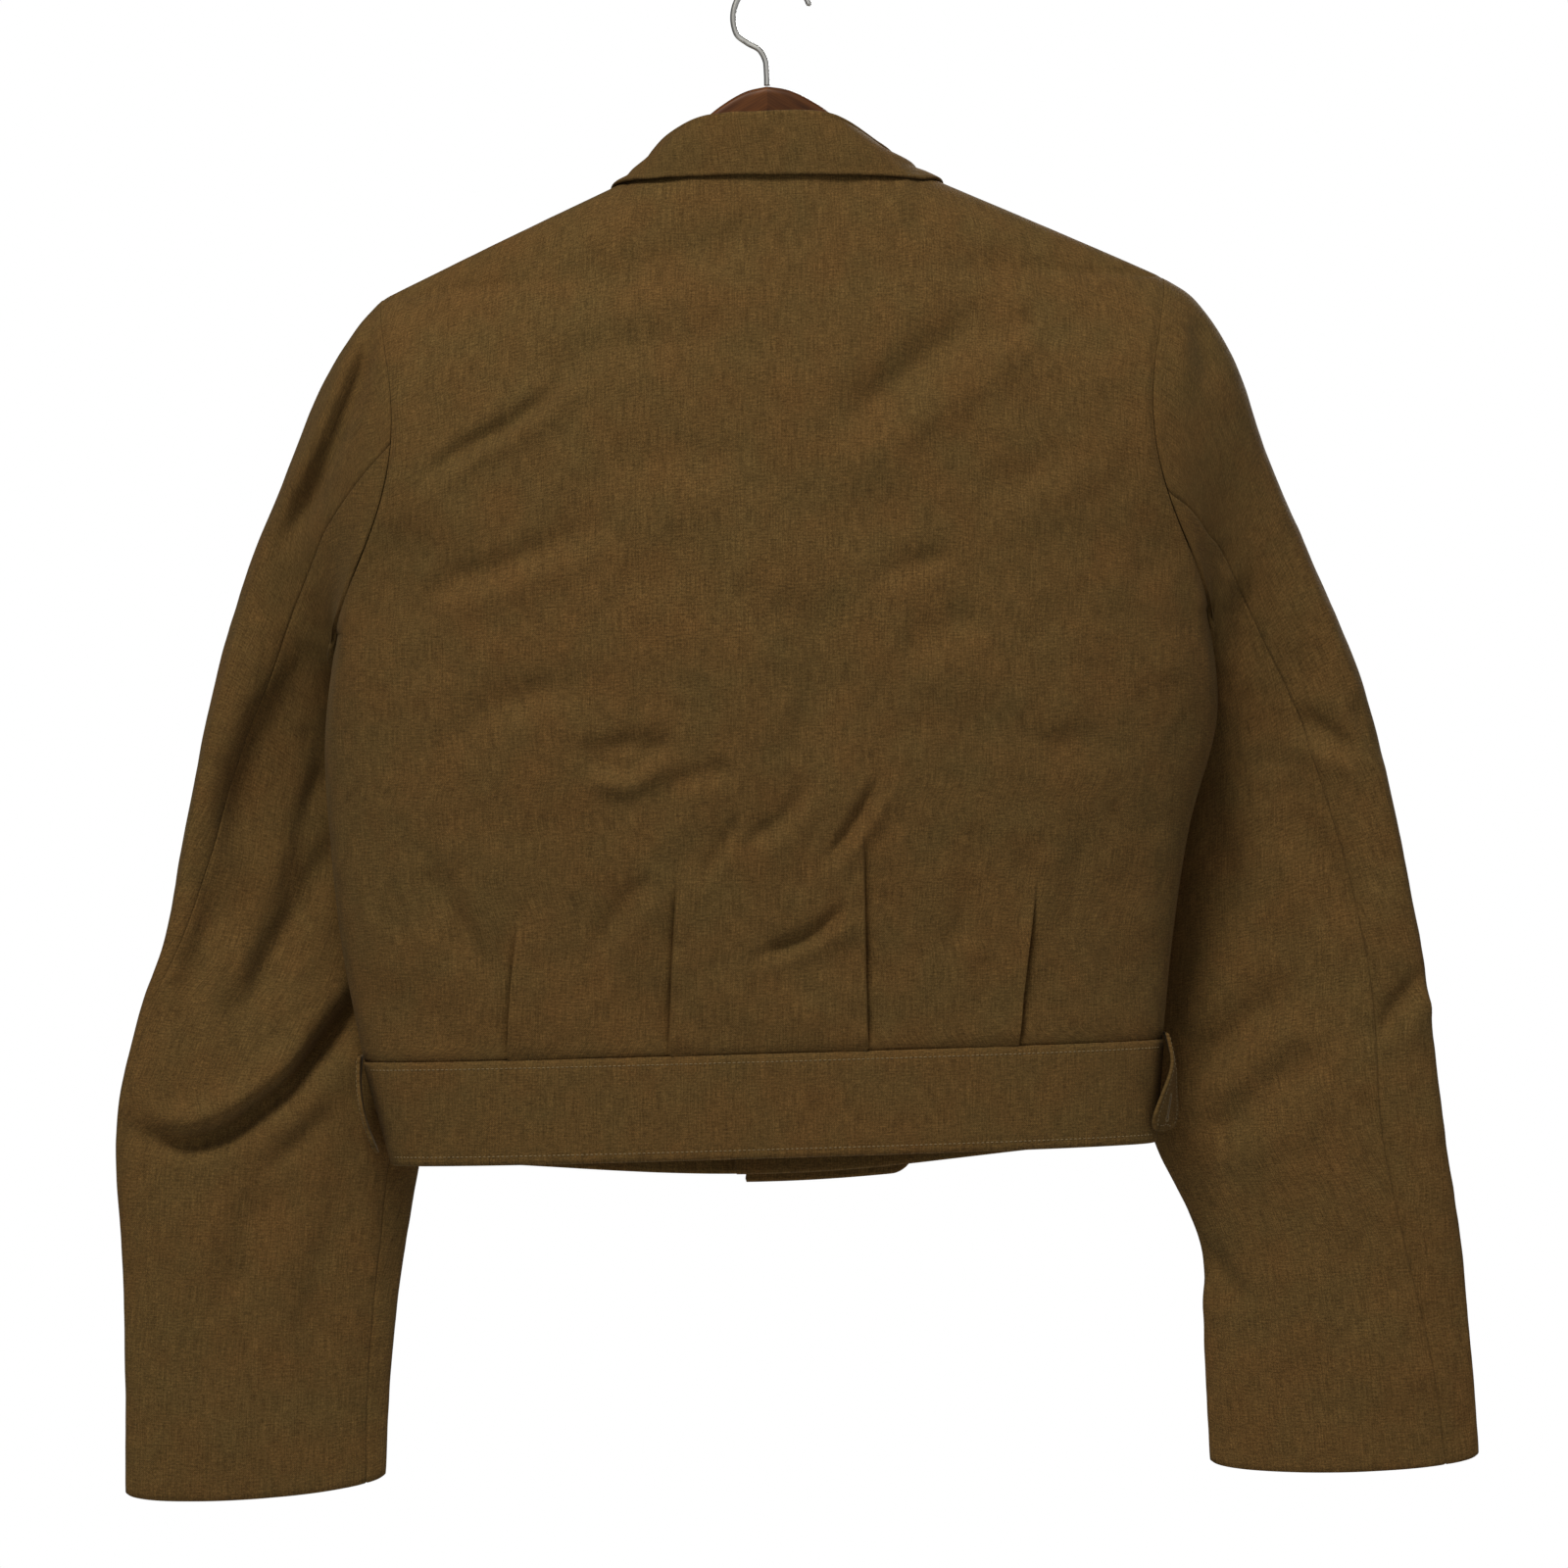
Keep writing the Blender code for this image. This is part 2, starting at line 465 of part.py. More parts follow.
def sleeve_grid(side, top):
    """Outer points and facing of the top or the under half of a sleeve."""
    folded, seam = sleeve_point(side)
    row = (len(LEFT_SLEEVE) - 1) * np.linspace(0, 1, SLEEVE_ROWS + 1)[:, None]
    trim = SEAM_GAP / 2 / 0.03
    if top:
        start, end = seam(row, "fore") - 2 * math.pi + trim, seam(row, "hind") - trim
        stations = [s for s in ARMHOLE_ROWS if s <= SEAM_STATION]
        armhole = math.pi * np.array([-s for s in stations[:0:-1]] + stations)
    else:
        start, end = seam(row, "hind") + trim, seam(row, "fore") - trim
        stations = [s for s in ARMHOLE_ROWS if s >= SEAM_STATION]
        armhole = math.pi * np.array(stations + [2 - s for s in stations[-2::-1]])
    # the columns meet the panels' rows at the armhole and even out further down
    from_armhole = (armhole - armhole[0]) / (armhole[-1] - armhole[0])
    even = np.linspace(0, 1, len(armhole))
    turn = start + (end - start) * (from_armhole + (even - from_armhole) * ease(row / 3))
    points, facing = folded(np.broadcast_to(row, turn.shape), turn)
    facing[0] = armhole_normal(side, turn[0])
    return points, facing


def wall(name, outer, facing, thickness, material):
    """A closed wall: a grid of outer points joined to the same grid moved in by the thickness."""
    rows, cols = outer.shape[:2]
    inner = outer - facing * thickness
    index = np.arange(rows * cols).reshape(rows, cols)
    quads = np.stack([index[:-1, :-1], index[:-1, 1:], index[1:, 1:], index[1:, :-1]], -1).reshape(-1, 4)
    rim = np.concatenate([index[0], index[1:, -1], index[-1, -2::-1], index[-2:0:-1, 0]])
    step = np.roll(rim, -1)
    sides = np.stack([step, rim, rim + rows * cols, step + rows * cols], -1)
    faces = np.concatenate([quads, quads[:, ::-1] + rows * cols, sides])
    mesh = bpy.data.meshes.new(name)
    mesh.from_pydata(np.concatenate([outer.reshape(-1, 3), inner.reshape(-1, 3)]).tolist(), [], faces.tolist())
    shaped = bmesh.new()
    shaped.from_mesh(mesh)
    bmesh.ops.recalc_face_normals(shaped, faces=shaped.faces)
    shaped.to_mesh(mesh)
    shaped.free()
    return add_part(name, mesh, material)


def add_part(name, data, material):
    """An object for the jacket's collection, hung from the hook."""
    part = bpy.data.objects.new(name, data)
    data.materials.append(material)
    jacket.objects.link(part)
    part.parent = held
    return part


def finish(name, colour, roughness, metallic=0.0):
    """A plain surface finish."""
    material = bpy.data.materials.new(name)
    material.use_nodes = True
    shader = material.node_tree.nodes["Principled BSDF"]
    shader.inputs["Base Color"].default_value = (*colour, 1.0)
    shader.inputs["Roughness"].default_value = roughness
    shader.inputs["Metallic"].default_value = metallic
    return material


def panels():
    """Back and fronts, moved apart by the seam gap."""
    apart = np.array([0, SEAM_GAP / 2, 0])
    points, facing = back_grid()
    wall("back", points - apart, facing, CLOTH, wool)
    for side, name in ((LEFT, "front_left"), (RIGHT, "front_right")):
        points, facing = front_grid(side)
        wall(name, points + apart, facing, CLOTH, wool)


def sleeves():
    """Two-piece sleeves."""
    for side, name in ((LEFT, "sleeve_left"), (RIGHT, "sleeve_right")):
        for top, half in ((True, "top"), (False, "under")):
            points, facing = sleeve_grid(side, top)
            wall(f"{name}_{half}", points, facing, CLOTH, wool)


def band_point(face, side=LEFT):
    """The waistband's outer surface: down is 0 at the waist seam and 1 at the hem."""
    def surface(down, across):
        down, across = np.broadcast_arrays(np.asarray(down, float), np.clip(across, -1, 1))
        points = body(face, 2.0, across)
        draw = np.where(across < 0, BAND_LEFT, BAND_RIGHT) * down * np.abs(across)
        reach = np.sqrt(np.clip(1 - np.abs(across) ** FLATNESS, 0, 1))
        x = points[..., 0] + np.sign(across) * (BAND_OUT * np.abs(across) - draw)
        y = points[..., 1] + face * reach * (BAND_OUT - BAND_TAPER * down)
        if face == FRONT and side == RIGHT:
            y = y - UNDERLAP * ease(1 - (x - EDGE_OVER) / UNDERLAP_FADE)
        return np.stack([x, y, points[..., 2] - SEAM_GAP - BAND_HEIGHT * down], -1)
    return surface


def band_wall(name, face, side, start, end, count):
    """One piece of the waistband, between two places across the body."""
    down = np.linspace(0, 1, BAND_ROWS + 1)[:, None]
    t = np.linspace(-1, 1, count + 1)
    t = np.sin(t * math.pi / 2) if face == BACK else np.linspace(0, 1, count + 1) ** 1.7 * 2 - 1
    across = np.broadcast_to(start + (end - start) * (t + 1) / 2, (BAND_ROWS + 1, count + 1))
    surface = band_point(face, side)
    down = np.broadcast_to(down, across.shape)
    facing = normals(surface, down * 0.98 + 0.01, across)
    facing = facing * np.sign(facing[..., 1:2] * face)
    seam = np.abs(across) > 1 - 1e-6
    facing[seam] = np.stack([np.sign(across[seam]), 0 * across[seam], 0 * across[seam]], -1)
    facing[..., 2] = 0
    apart = np.array([0, face * SEAM_GAP / 2, 0])
    return wall(name, surface(down, across) + apart, unit(facing), BAND_CLOTH, wool)


def waistband():
    """Back and front pieces of the waistband."""
    over = EDGE_OVER / half_width(2.0, LEFT)
    band_wall("waistband_back", BACK, LEFT, -1.0, 1.0, 30)
    band_wall("waistband_front_left", FRONT, LEFT, -1.0, over, 14)
    band_wall("waistband_front_right", FRONT, RIGHT, 1.0, -over, 14)


def clear_of_body(points):
    """Points moved out, where they need it, to lie on the outside of the body's cloth."""
    station, across = np.meshgrid(np.linspace(0, 0.6, 50), np.linspace(-1, 1, 121), indexing="ij")
    near, way = [], []
    for face in (BACK, FRONT):
        surface = back_point if face == BACK else front_point(LEFT)
        near.append(surface(station, across).reshape(-1, 3))
        way.append(panel_normals(face, station, across, surface).reshape(-1, 3))
    near, way = np.concatenate(near), np.concatenate(way)
    flat = points.reshape(-1, 3)
    closest = np.array([np.argmin(np.sum((near - point) ** 2, axis=1)) for point in flat])
    height = np.sum((flat - near[closest]) * way[closest], axis=1)
    beside = np.linalg.norm(flat - near[closest] - way[closest] * height[:, None], axis=1)
    push = np.where(beside < 0.004, np.clip(COLLAR_LIFT - height, 0, None), 0)
    return (flat + way[closest] * push[:, None]).reshape(points.shape)


def collar():
    """Stand, roll and fall in one strip, the same on both sides of the middle."""
    table = columns(COLLAR)
    along = np.linspace(-1, 1, COLLAR_COLUMNS + 1)

    def place(name):
        at = np.abs(along)
        x = np.sign(along) * smooth(at, table.at, getattr(table, name + "_x"))
        y = smooth(at, table.at, getattr(table, name + "_y"))
        return tilted(x, y, smooth(at, table.at, getattr(table, name + "_z")))

    foot, roll, edge = place("foot"), place("roll"), place("edge")
    outward = edge - foot
    outward[:, 2] = 0
    outward = unit(outward) * COLLAR_ROLL
    up = np.array([0, 0, COLLAR_ROLL])
    rows = [foot + (roll - outward - foot) * t for t in (0, 0.35, 0.7)]
    rows += [roll - outward * math.cos(a) + up * math.sin(a) for a in np.linspace(0, math.pi, 6)]
    rows += [roll + outward + (edge - roll - outward) * t for t in (0.3, 0.55, 0.8, 1.0)]
    points = np.array(rows)
    points[9:] = clear_of_body(points[9:])
    along_rows, across_rows = np.gradient(points, axis=0), np.gradient(points, axis=1)
    facing = unit(np.cross(across_rows, along_rows))
    facing[0, :, 2] = 0
    wall("collar", points + unit(facing) * CLOTH / 2, unit(facing), CLOTH, wool)


def laid(name, side, x, z, height, thickness, material):
    """A piece that lies on a front: its grid of places is put on the front and moved out."""
    points, facing = front_at(side, x, z)
    points = points + np.array([0, SEAM_GAP / 2, 0])
    return wall(name, points + facing * (height + thickness), facing, thickness, material)


def lapels():
    """Lapels, turned back along the roll line."""
    table = columns(LAPEL)
    for side, name, low in ((LEFT, "lapel_left", -0.332), (RIGHT, "lapel_right", -0.318)):
        z = np.linspace(table.z[0], low, 13)[:, None]
        past = (z - CENTRES[0].front_z) / (BREAK_Z - CENTRES[0].front_z)
        fold = -NECK_X + (NECK_X + EDGE_OVER) * past
        width = smooth(-z, -table.z, table.width)
        t = np.linspace(0.02, 1, 7)
        drop = 0.62 * width * t * np.clip(1 - (table.z[0] - z) / 0.09, 0, 1)
        laid(name, side, -side * (fold - width * t), z - drop + side * TILT * 0.05, LAY_GAP, CLOTH, wool)


def pockets():
    """Chest pockets and their flaps."""
    for side, name in ((LEFT, "left"), (RIGHT, "right")):
        across = np.linspace(-0.5, 0.5, 8)
        down = np.linspace(0, 1, 9)[:, None]
        corner = 0.006 * ease((down - 0.85) / 0.15) * np.sign(across) * (np.abs(across) > 0.49)
        x = side * POCKET_X + across * POCKET_WIDTH - corner
        z = POCKET_TOP - down * POCKET_HEIGHT + side * TILT * POCKET_X + 0 * across
        laid(f"pocket_{name}", side, x, z, LAY_GAP, CLOTH, wool)
        down = np.linspace(0, 1, 5)[:, None]
        point = FLAP_POINT * (1 - 2 * np.abs(across)) * down
        x = side * POCKET_X + across * FLAP_WIDTH + 0 * down
        z = FLAP_TOP - down * FLAP_HEIGHT - point + side * TILT * POCKET_X
        laid(f"pocket_flap_{name}", side, x, z, 2 * LAY_GAP + CLOTH, CLOTH, wool)


def waist_tab():
    """The belt tab over the front of the waistband, and its button."""
    surface = band_point(FRONT)
    t = np.linspace(0, 1, 9)
    up = np.linspace(0, 1, 6)[:, None]
    x = WAIST_TAB_X + WAIST_TAB_LENGTH * t + WAIST_TAB_SLANT * (1 - t) * up
    end = np.clip((t - 0.86) / 0.14, 0, 1)
    rounding = 0.35 * WAIST_TAB_HEIGHT * (1 - np.sqrt(1 - 0.96 * end ** 2))
    height = WAIST_TAB_HEIGHT - 2 * rounding
    across = x / np.where(x < 0, half_width(2.0, LEFT), half_width(2.0, RIGHT))
    down = 1 + (WAIST_TAB_DROP - rounding - height * up) / BAND_HEIGHT
    out = np.array([0.0, 1.0, 0.0])
    points = surface(down, across) + out * (LAY_GAP + BAND_CLOTH)
    wall("waist_tab", points, np.broadcast_to(out, points.shape), BAND_CLOTH, wool)
    middle = 1 + (WAIST_TAB_DROP - WAIST_TAB_HEIGHT / 2) / BAND_HEIGHT
    spot = surface(middle, np.array(BUTTON_X / half_width(2.0, RIGHT)))
    button(spot + out * (2 * LAY_GAP + BAND_CLOTH + SEAM_GAP))


def button(place):
    """A flat four-hole button, its back on the tab."""
    shape = bpy.data.curves.new("waist_tab_button", "CURVE")
    shape.dimensions = "2D"
    shape.fill_mode = "BOTH"
    rings = [(0.0, 0.0, BUTTON_RADIUS, 28)]
    for turn in (45, 135, 225, 315):
        spread = 0.0026
        rings.append((spread * math.cos(math.radians(turn)), spread * math.sin(math.radians(turn)), BUTTON_HOLE, 8))
    for centre_x, centre_y, radius, count in rings:
        spline = shape.splines.new("POLY")
        spline.points.add(count - 1)
        spline.use_cyclic_u = True
        for i, point in enumerate(spline.points):
            angle = 2 * math.pi * i / count
            point.co = (centre_x + radius * math.cos(angle), centre_y + radius * math.sin(angle), 0, 1)
    shape.extrude = BUTTON_THICK / 2
    part = add_part("waist_tab_button", shape, horn)
    part.location = (place[0], place[1] + BUTTON_THICK / 2, place[2])
    part.rotation_euler = (math.pi / 2, 0, 0)


def side_tabs():
    """Tabs that hang free from the waist seam at each side."""
    table = columns(SIDE_TABS)
    for side, name in ((LEFT, "left"), (RIGHT, "right")):
        down = np.linspace(0, 1, 10)[:, None]
        t = np.linspace(-0.5, 0.5, 6)
        end = np.clip((down - 0.72) / 0.28, 0, 1)
        width = SIDE_TAB_WIDTH * (0.28 + 0.72 * np.sqrt(1 - 0.98 * end ** 2))
        draw = (BAND_LEFT if side == LEFT else BAND_RIGHT) * down
        edge = half_width(2.0, side) + BAND_OUT - draw
        out = edge + smooth(down, table.down, getattr(table, "out_" + name))
        turn = np.radians(smooth(down, table.down, getattr(table, "turn_" + name)))
        back = smooth(down, table.down, getattr(table, "back_" + name))
        x = side * (out + CLOTH + width * t * np.sin(turn))
        y = back + width * t * np.cos(turn)
        points = tilted(x, y, WAIST_Z + 0.003 - SIDE_TAB_LENGTH * down + 0 * t)
        facing = np.stack([side * np.cos(turn) + 0 * t, -np.sin(turn) + 0 * t, 0 * turn + 0 * t], -1)
        wall(f"side_tab_{name}", points, facing, CLOTH, wool)


def hanger():
    """A wooden arch under the shoulder seams, and its wire hook."""
    slope = (SHOULDER_Z - CENTRES[0].front_z) / (SHOULDER_X - NECK_X)
    hump = columns(HANGER_HUMP)

    def top(x):
        reach = np.abs(x)
        seat = CENTRES[0].front_z + slope * (reach - NECK_X) - CLOTH * math.hypot(1, slope) - HANGER_SEAT
        return np.where(reach < hump.x[-1], smooth(reach, hump.x, hump.z), seat)

    def height(x):
        return HANGER_HEIGHT + (HANGER_TIP_HEIGHT - HANGER_HEIGHT) * ease(np.abs(x) / HANGER_REACH)

    x = np.linspace(-HANGER_REACH, HANGER_REACH, 41)
    tip = np.linspace(0, 1, 6)[1:-1]
    ends = HANGER_REACH + 0.006 * np.sin(tip * math.pi)
    tip_z = top(HANGER_REACH) - HANGER_TIP_HEIGHT * tip
    outline = list(zip(x, top(x))) + list(zip(ends, tip_z))
    outline += list(zip(x[::-1], (top(x) - height(x))[::-1])) + list(zip(-ends[::-1], tip_z[::-1]))
    shape = bpy.data.curves.new("hanger_arms", "CURVE")
    shape.dimensions = "2D"
    shape.fill_mode = "BOTH"
    spline = shape.splines.new("POLY")
    spline.points.add(len(outline) - 1)
    spline.use_cyclic_u = True
    for point, (place_x, place_z) in zip(spline.points, outline):
        point.co = (place_x, place_z + TILT * place_x, 0, 1)
    shape.extrude = HANGER_THICK / 2 - HANGER_ROUND
    shape.bevel_depth = HANGER_ROUND
    shape.bevel_resolution = 1
    shape.offset = -HANGER_ROUND
    arms = add_part("hanger_arms", shape, wood)
    arms.rotation_euler = (math.pi / 2, 0, 0)

    centre_z = HOOK_WIRE - HOOK_RADIUS
    arc = np.radians(np.linspace(HOOK_TIP_ANGLE, HOOK_TAIL_ANGLE, 19))
    path = [(HOOK_RADIUS * math.cos(a), centre_z + HOOK_RADIUS * math.sin(a)) for a in arc]
    path += [(place.x, place.z) for place in HOOK_TAIL]
    place_x, place_z = np.array(path).T
    length = np.concatenate([[0], np.cumsum(np.hypot(np.diff(place_x), np.diff(place_z)))])
    at = np.linspace(0, length[-1], 44)
    wire = bpy.data.curves.new("hanger_hook", "CURVE")
    wire.dimensions = "3D"
    wire.bevel_depth = HOOK_WIRE
    wire.bevel_resolution = 2
    wire.use_fill_caps = True
    spline = wire.splines.new("POLY")
    spline.points.add(len(at) - 1)
    for point, px, pz in zip(spline.points, smooth(at, length, place_x), smooth(at, length, place_z)):
        point.co = (px, 0, pz, 1)
    add_part("hanger_hook", wire, steel)


for leftover in list(bpy.data.objects):
    bpy.data.objects.remove(leftover)

jacket = bpy.data.collections.new("ike_jacket")
bpy.context.scene.collection.children.link(jacket)
held = bpy.data.objects.new("hook_rest", None)
jacket.objects.link(held)

wool = finish("wool", (0.090, 0.052, 0.018), 0.95)
wood = finish("wood", (0.080, 0.035, 0.017), 0.35)
steel = finish("steel", (0.62, 0.61, 0.58), 0.3, 1.0)
horn = finish("horn", (0.055, 0.035, 0.018), 0.45)

panels()
sleeves()
waistband()
collar()
lapels()
pockets()
waist_tab()
side_tabs()
hanger()
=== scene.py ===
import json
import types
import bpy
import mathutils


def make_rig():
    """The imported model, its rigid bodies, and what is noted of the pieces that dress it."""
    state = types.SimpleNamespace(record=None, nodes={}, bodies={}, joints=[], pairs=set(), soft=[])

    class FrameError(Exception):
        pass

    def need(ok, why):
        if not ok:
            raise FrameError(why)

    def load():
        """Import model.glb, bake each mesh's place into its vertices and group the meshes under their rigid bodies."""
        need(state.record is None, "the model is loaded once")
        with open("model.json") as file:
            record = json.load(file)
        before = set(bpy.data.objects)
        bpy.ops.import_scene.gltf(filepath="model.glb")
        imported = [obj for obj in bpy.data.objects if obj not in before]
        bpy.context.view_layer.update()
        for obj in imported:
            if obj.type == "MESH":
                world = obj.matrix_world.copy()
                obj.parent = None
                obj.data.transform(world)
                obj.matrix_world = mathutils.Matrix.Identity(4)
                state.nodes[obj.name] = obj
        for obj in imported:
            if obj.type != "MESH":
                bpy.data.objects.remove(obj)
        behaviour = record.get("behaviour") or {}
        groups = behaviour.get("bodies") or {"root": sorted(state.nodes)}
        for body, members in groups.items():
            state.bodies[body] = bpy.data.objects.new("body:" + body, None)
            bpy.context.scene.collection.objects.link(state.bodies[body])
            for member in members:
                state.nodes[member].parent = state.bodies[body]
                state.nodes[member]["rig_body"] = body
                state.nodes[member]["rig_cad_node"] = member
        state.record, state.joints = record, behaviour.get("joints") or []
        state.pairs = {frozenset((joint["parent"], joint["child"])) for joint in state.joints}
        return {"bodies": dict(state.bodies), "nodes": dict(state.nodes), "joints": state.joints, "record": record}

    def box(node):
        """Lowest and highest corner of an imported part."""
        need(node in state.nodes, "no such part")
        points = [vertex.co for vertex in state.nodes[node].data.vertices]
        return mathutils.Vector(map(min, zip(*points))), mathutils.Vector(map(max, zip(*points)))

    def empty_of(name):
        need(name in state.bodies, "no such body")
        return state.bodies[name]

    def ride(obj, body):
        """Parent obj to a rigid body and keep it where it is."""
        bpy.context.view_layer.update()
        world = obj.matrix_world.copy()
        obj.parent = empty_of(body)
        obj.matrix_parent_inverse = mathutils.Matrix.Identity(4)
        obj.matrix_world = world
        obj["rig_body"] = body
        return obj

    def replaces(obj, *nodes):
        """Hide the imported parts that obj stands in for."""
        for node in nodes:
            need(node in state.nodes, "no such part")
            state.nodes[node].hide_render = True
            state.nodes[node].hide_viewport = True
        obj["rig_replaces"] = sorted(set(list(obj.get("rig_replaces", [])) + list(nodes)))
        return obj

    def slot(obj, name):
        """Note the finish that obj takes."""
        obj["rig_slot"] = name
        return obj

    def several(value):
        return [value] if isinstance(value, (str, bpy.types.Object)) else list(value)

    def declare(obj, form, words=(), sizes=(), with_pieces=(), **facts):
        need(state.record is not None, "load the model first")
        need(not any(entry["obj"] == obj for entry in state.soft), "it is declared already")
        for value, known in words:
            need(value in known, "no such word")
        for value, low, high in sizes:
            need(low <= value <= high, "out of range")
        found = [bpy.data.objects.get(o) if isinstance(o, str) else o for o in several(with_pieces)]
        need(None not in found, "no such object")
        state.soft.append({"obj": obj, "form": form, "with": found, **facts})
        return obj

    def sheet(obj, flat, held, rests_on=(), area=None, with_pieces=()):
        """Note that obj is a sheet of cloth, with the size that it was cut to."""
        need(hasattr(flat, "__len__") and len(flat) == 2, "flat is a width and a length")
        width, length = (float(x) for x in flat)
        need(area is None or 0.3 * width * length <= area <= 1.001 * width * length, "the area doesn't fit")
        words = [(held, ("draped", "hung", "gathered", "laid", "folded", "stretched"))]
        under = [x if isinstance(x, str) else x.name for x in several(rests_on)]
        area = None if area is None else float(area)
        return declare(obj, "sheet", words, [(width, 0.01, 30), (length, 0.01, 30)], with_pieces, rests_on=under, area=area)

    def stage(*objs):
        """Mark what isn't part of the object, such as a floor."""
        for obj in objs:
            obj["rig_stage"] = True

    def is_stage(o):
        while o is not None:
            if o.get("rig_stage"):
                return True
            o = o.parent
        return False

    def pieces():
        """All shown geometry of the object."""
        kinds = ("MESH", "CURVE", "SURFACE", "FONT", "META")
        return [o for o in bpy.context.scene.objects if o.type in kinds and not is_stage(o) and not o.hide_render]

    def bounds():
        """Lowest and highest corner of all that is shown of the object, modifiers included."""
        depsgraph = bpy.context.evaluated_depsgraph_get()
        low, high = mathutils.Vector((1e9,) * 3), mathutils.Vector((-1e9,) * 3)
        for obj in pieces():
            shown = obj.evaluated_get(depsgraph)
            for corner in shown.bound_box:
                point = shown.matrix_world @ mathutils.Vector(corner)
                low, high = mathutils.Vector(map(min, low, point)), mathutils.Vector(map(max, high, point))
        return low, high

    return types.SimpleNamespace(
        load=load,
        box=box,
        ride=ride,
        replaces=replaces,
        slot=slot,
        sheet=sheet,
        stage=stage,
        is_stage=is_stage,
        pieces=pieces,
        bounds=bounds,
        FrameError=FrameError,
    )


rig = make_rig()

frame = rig.load()

import json
import math

import bpy
import numpy as np
from mathutils import Vector

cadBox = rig.bounds()
left, right = -1, 1
behind, before = -1, 1
sideWord = {left: "left", right: "right"}
mm = 0.001

# the photograph's view: straight at the back, from four metres
shot = {"aimX": 0.0067, "aimZ": -0.4586, "away": 4.0, "across": 0.896, "sensor": 36.0}


def addCamera():
    # the lens takes in shot["across"] metres at the hanger's depth
    lens = bpy.data.cameras.new("shotCamera")
    lens.sensor_width = shot["sensor"]
    lens.lens = shot["sensor"] * shot["away"] / shot["across"]
    camera = bpy.data.objects.new("shotCamera", lens)
    camera.location = (shot["aimX"], -shot["away"], shot["aimZ"])
    camera.rotation_euler = (math.pi / 2, 0, 0)
    bpy.context.scene.collection.objects.link(camera)
    bpy.context.scene.camera = camera


addCamera()
print("camera set")


# Shared maths

def ease(t):
    # 0 to 1 with flat ends
    t = np.clip(t, 0, 1)
    return t * t * (3 - 2 * t)


def unitOf(vectors):
    return vectors / np.maximum(np.linalg.norm(vectors, axis=-1, keepdims=True), 1e-12)


def tableOf(names, rows):
    # one array for each named column
    return dict(zip(names.split(), np.array(rows, float).T))


def throughPoints(at, stations, values):
    # a cubic through values at their stations, each slope taken from the neighbours
    slopes = np.gradient(values, stations)
    at = np.clip(at, stations[0], stations[-1])
    i = np.clip(np.searchsorted(stations, at, side="right") - 1, 0, len(stations) - 2)
    span = stations[i + 1] - stations[i]
    t = (at - stations[i]) / span
    start = values[i] * (2 * t ** 3 - 3 * t ** 2 + 1) + span * slopes[i] * (t ** 3 - 2 * t ** 2 + t)
    return start + values[i + 1] * (3 * t ** 2 - 2 * t ** 3) + span * slopes[i + 1] * (t ** 3 - t ** 2)


def reading(table, name, at):
    # a named column of a table, at places along its first one
    return throughPoints(at, next(iter(table.values())), table[name])


def between(start, end, turn):
    # from start to end as turn goes from 0 to half a circle
    return (start + end) / 2 + (start - end) / 2 * np.cos(turn)


def lengthAlong(path):
    # how far each point of a path lies from its start
    return np.concatenate([[0], np.cumsum(np.linalg.norm(np.diff(path, axis=0), axis=-1))])


def graded(count, pull):
    # 0 to 1 in count steps, drawn towards both ends by pull
    t = np.linspace(0, 1, count + 1)
    return (1 - pull) * t + pull * (0.5 - 0.5 * np.cos(math.pi * t))


def tilted(x, y, z):
    # the jacket hangs a little higher on its right
    return np.stack(np.broadcast_arrays(x, y, z + cut["tilt"] * x), axis=-1)


def normalsOf(surface, u, v, step=1e-4):
    # the cross product of short steps either way along u and v
    du = surface(u + step, v) - surface(u - step, v)
    dv = surface(u, v + step) - surface(u, v - step)
    return unitOf(np.cross(du, dv))


# Body, as it is cut: station 0 is the shoulder seam, 1 the underarm, 2 the waist seam
cut = {
    "cloth": 0.002, "bandCloth": 0.003, "seamGap": 0.0003, "layGap": 0.0007, "tilt": 0.029,
    "shoulderX": 0.2225, "shoulderZ": -0.1755,
    "underarmX": 0.250, "underarmY": 0.003, "underarmZ": -0.366,
    "waistZ": -0.6105, "bandHeight": 0.058, "bandLeft": 0.0160, "bandRight": 0.0040,
    "bandOut": 0.001, "bandTaper": 0.003,
    "armholeBack": 0.058, "armholeFront": 0.050, "armholeInset": 0.020,
    "neckX": 0.080, "neckZ": -0.110, "neckRise": 0.004, "flatness": 2.4, "edgeRoll": 0.014, "seamFade": 0.10,
    "fullZ": -0.295, "fullOver": 0.115, "sideFade": 0.17, "yoke": 0.45,
    "breakZ": -0.340, "edgeOver": 0.022, "underlap": 0.006, "underlapFade": 0.085,
}
centreLine = tableOf("station backY backZ frontY frontZ", [
    (0.00, -0.041, cut["neckZ"], 0.030, cut["neckZ"]),
    (0.20, -0.051, -0.150, 0.045, -0.150),
    (0.50, -0.070, -0.235, 0.060, -0.235),
    (0.80, -0.078, -0.325, 0.067, -0.325),
    (1.00, -0.080, -0.372, 0.069, -0.374),
    (1.25, -0.078, -0.430, 0.069, -0.434),
    (1.50, -0.072, -0.490, 0.065, -0.496),
    (1.75, -0.063, -0.550, 0.059, -0.559),
    (2.00, -0.056, -0.6105, 0.054, -0.6245)])
sideSeam = tableOf("station left right", [
    (1.00, 0.2500, 0.2500),
    (1.25, 0.2560, 0.2545),
    (1.50, 0.2525, 0.2390),
    (1.75, 0.2455, 0.2295),
    (2.00, 0.2335, 0.2235)])
holeFacing = {"aside": 0.006, "behind": 0.001, "up": 0.002, "level": 0.25}
turnIn = {"shoulder": 0.04, "side": 0.02, "waist": 0.03}


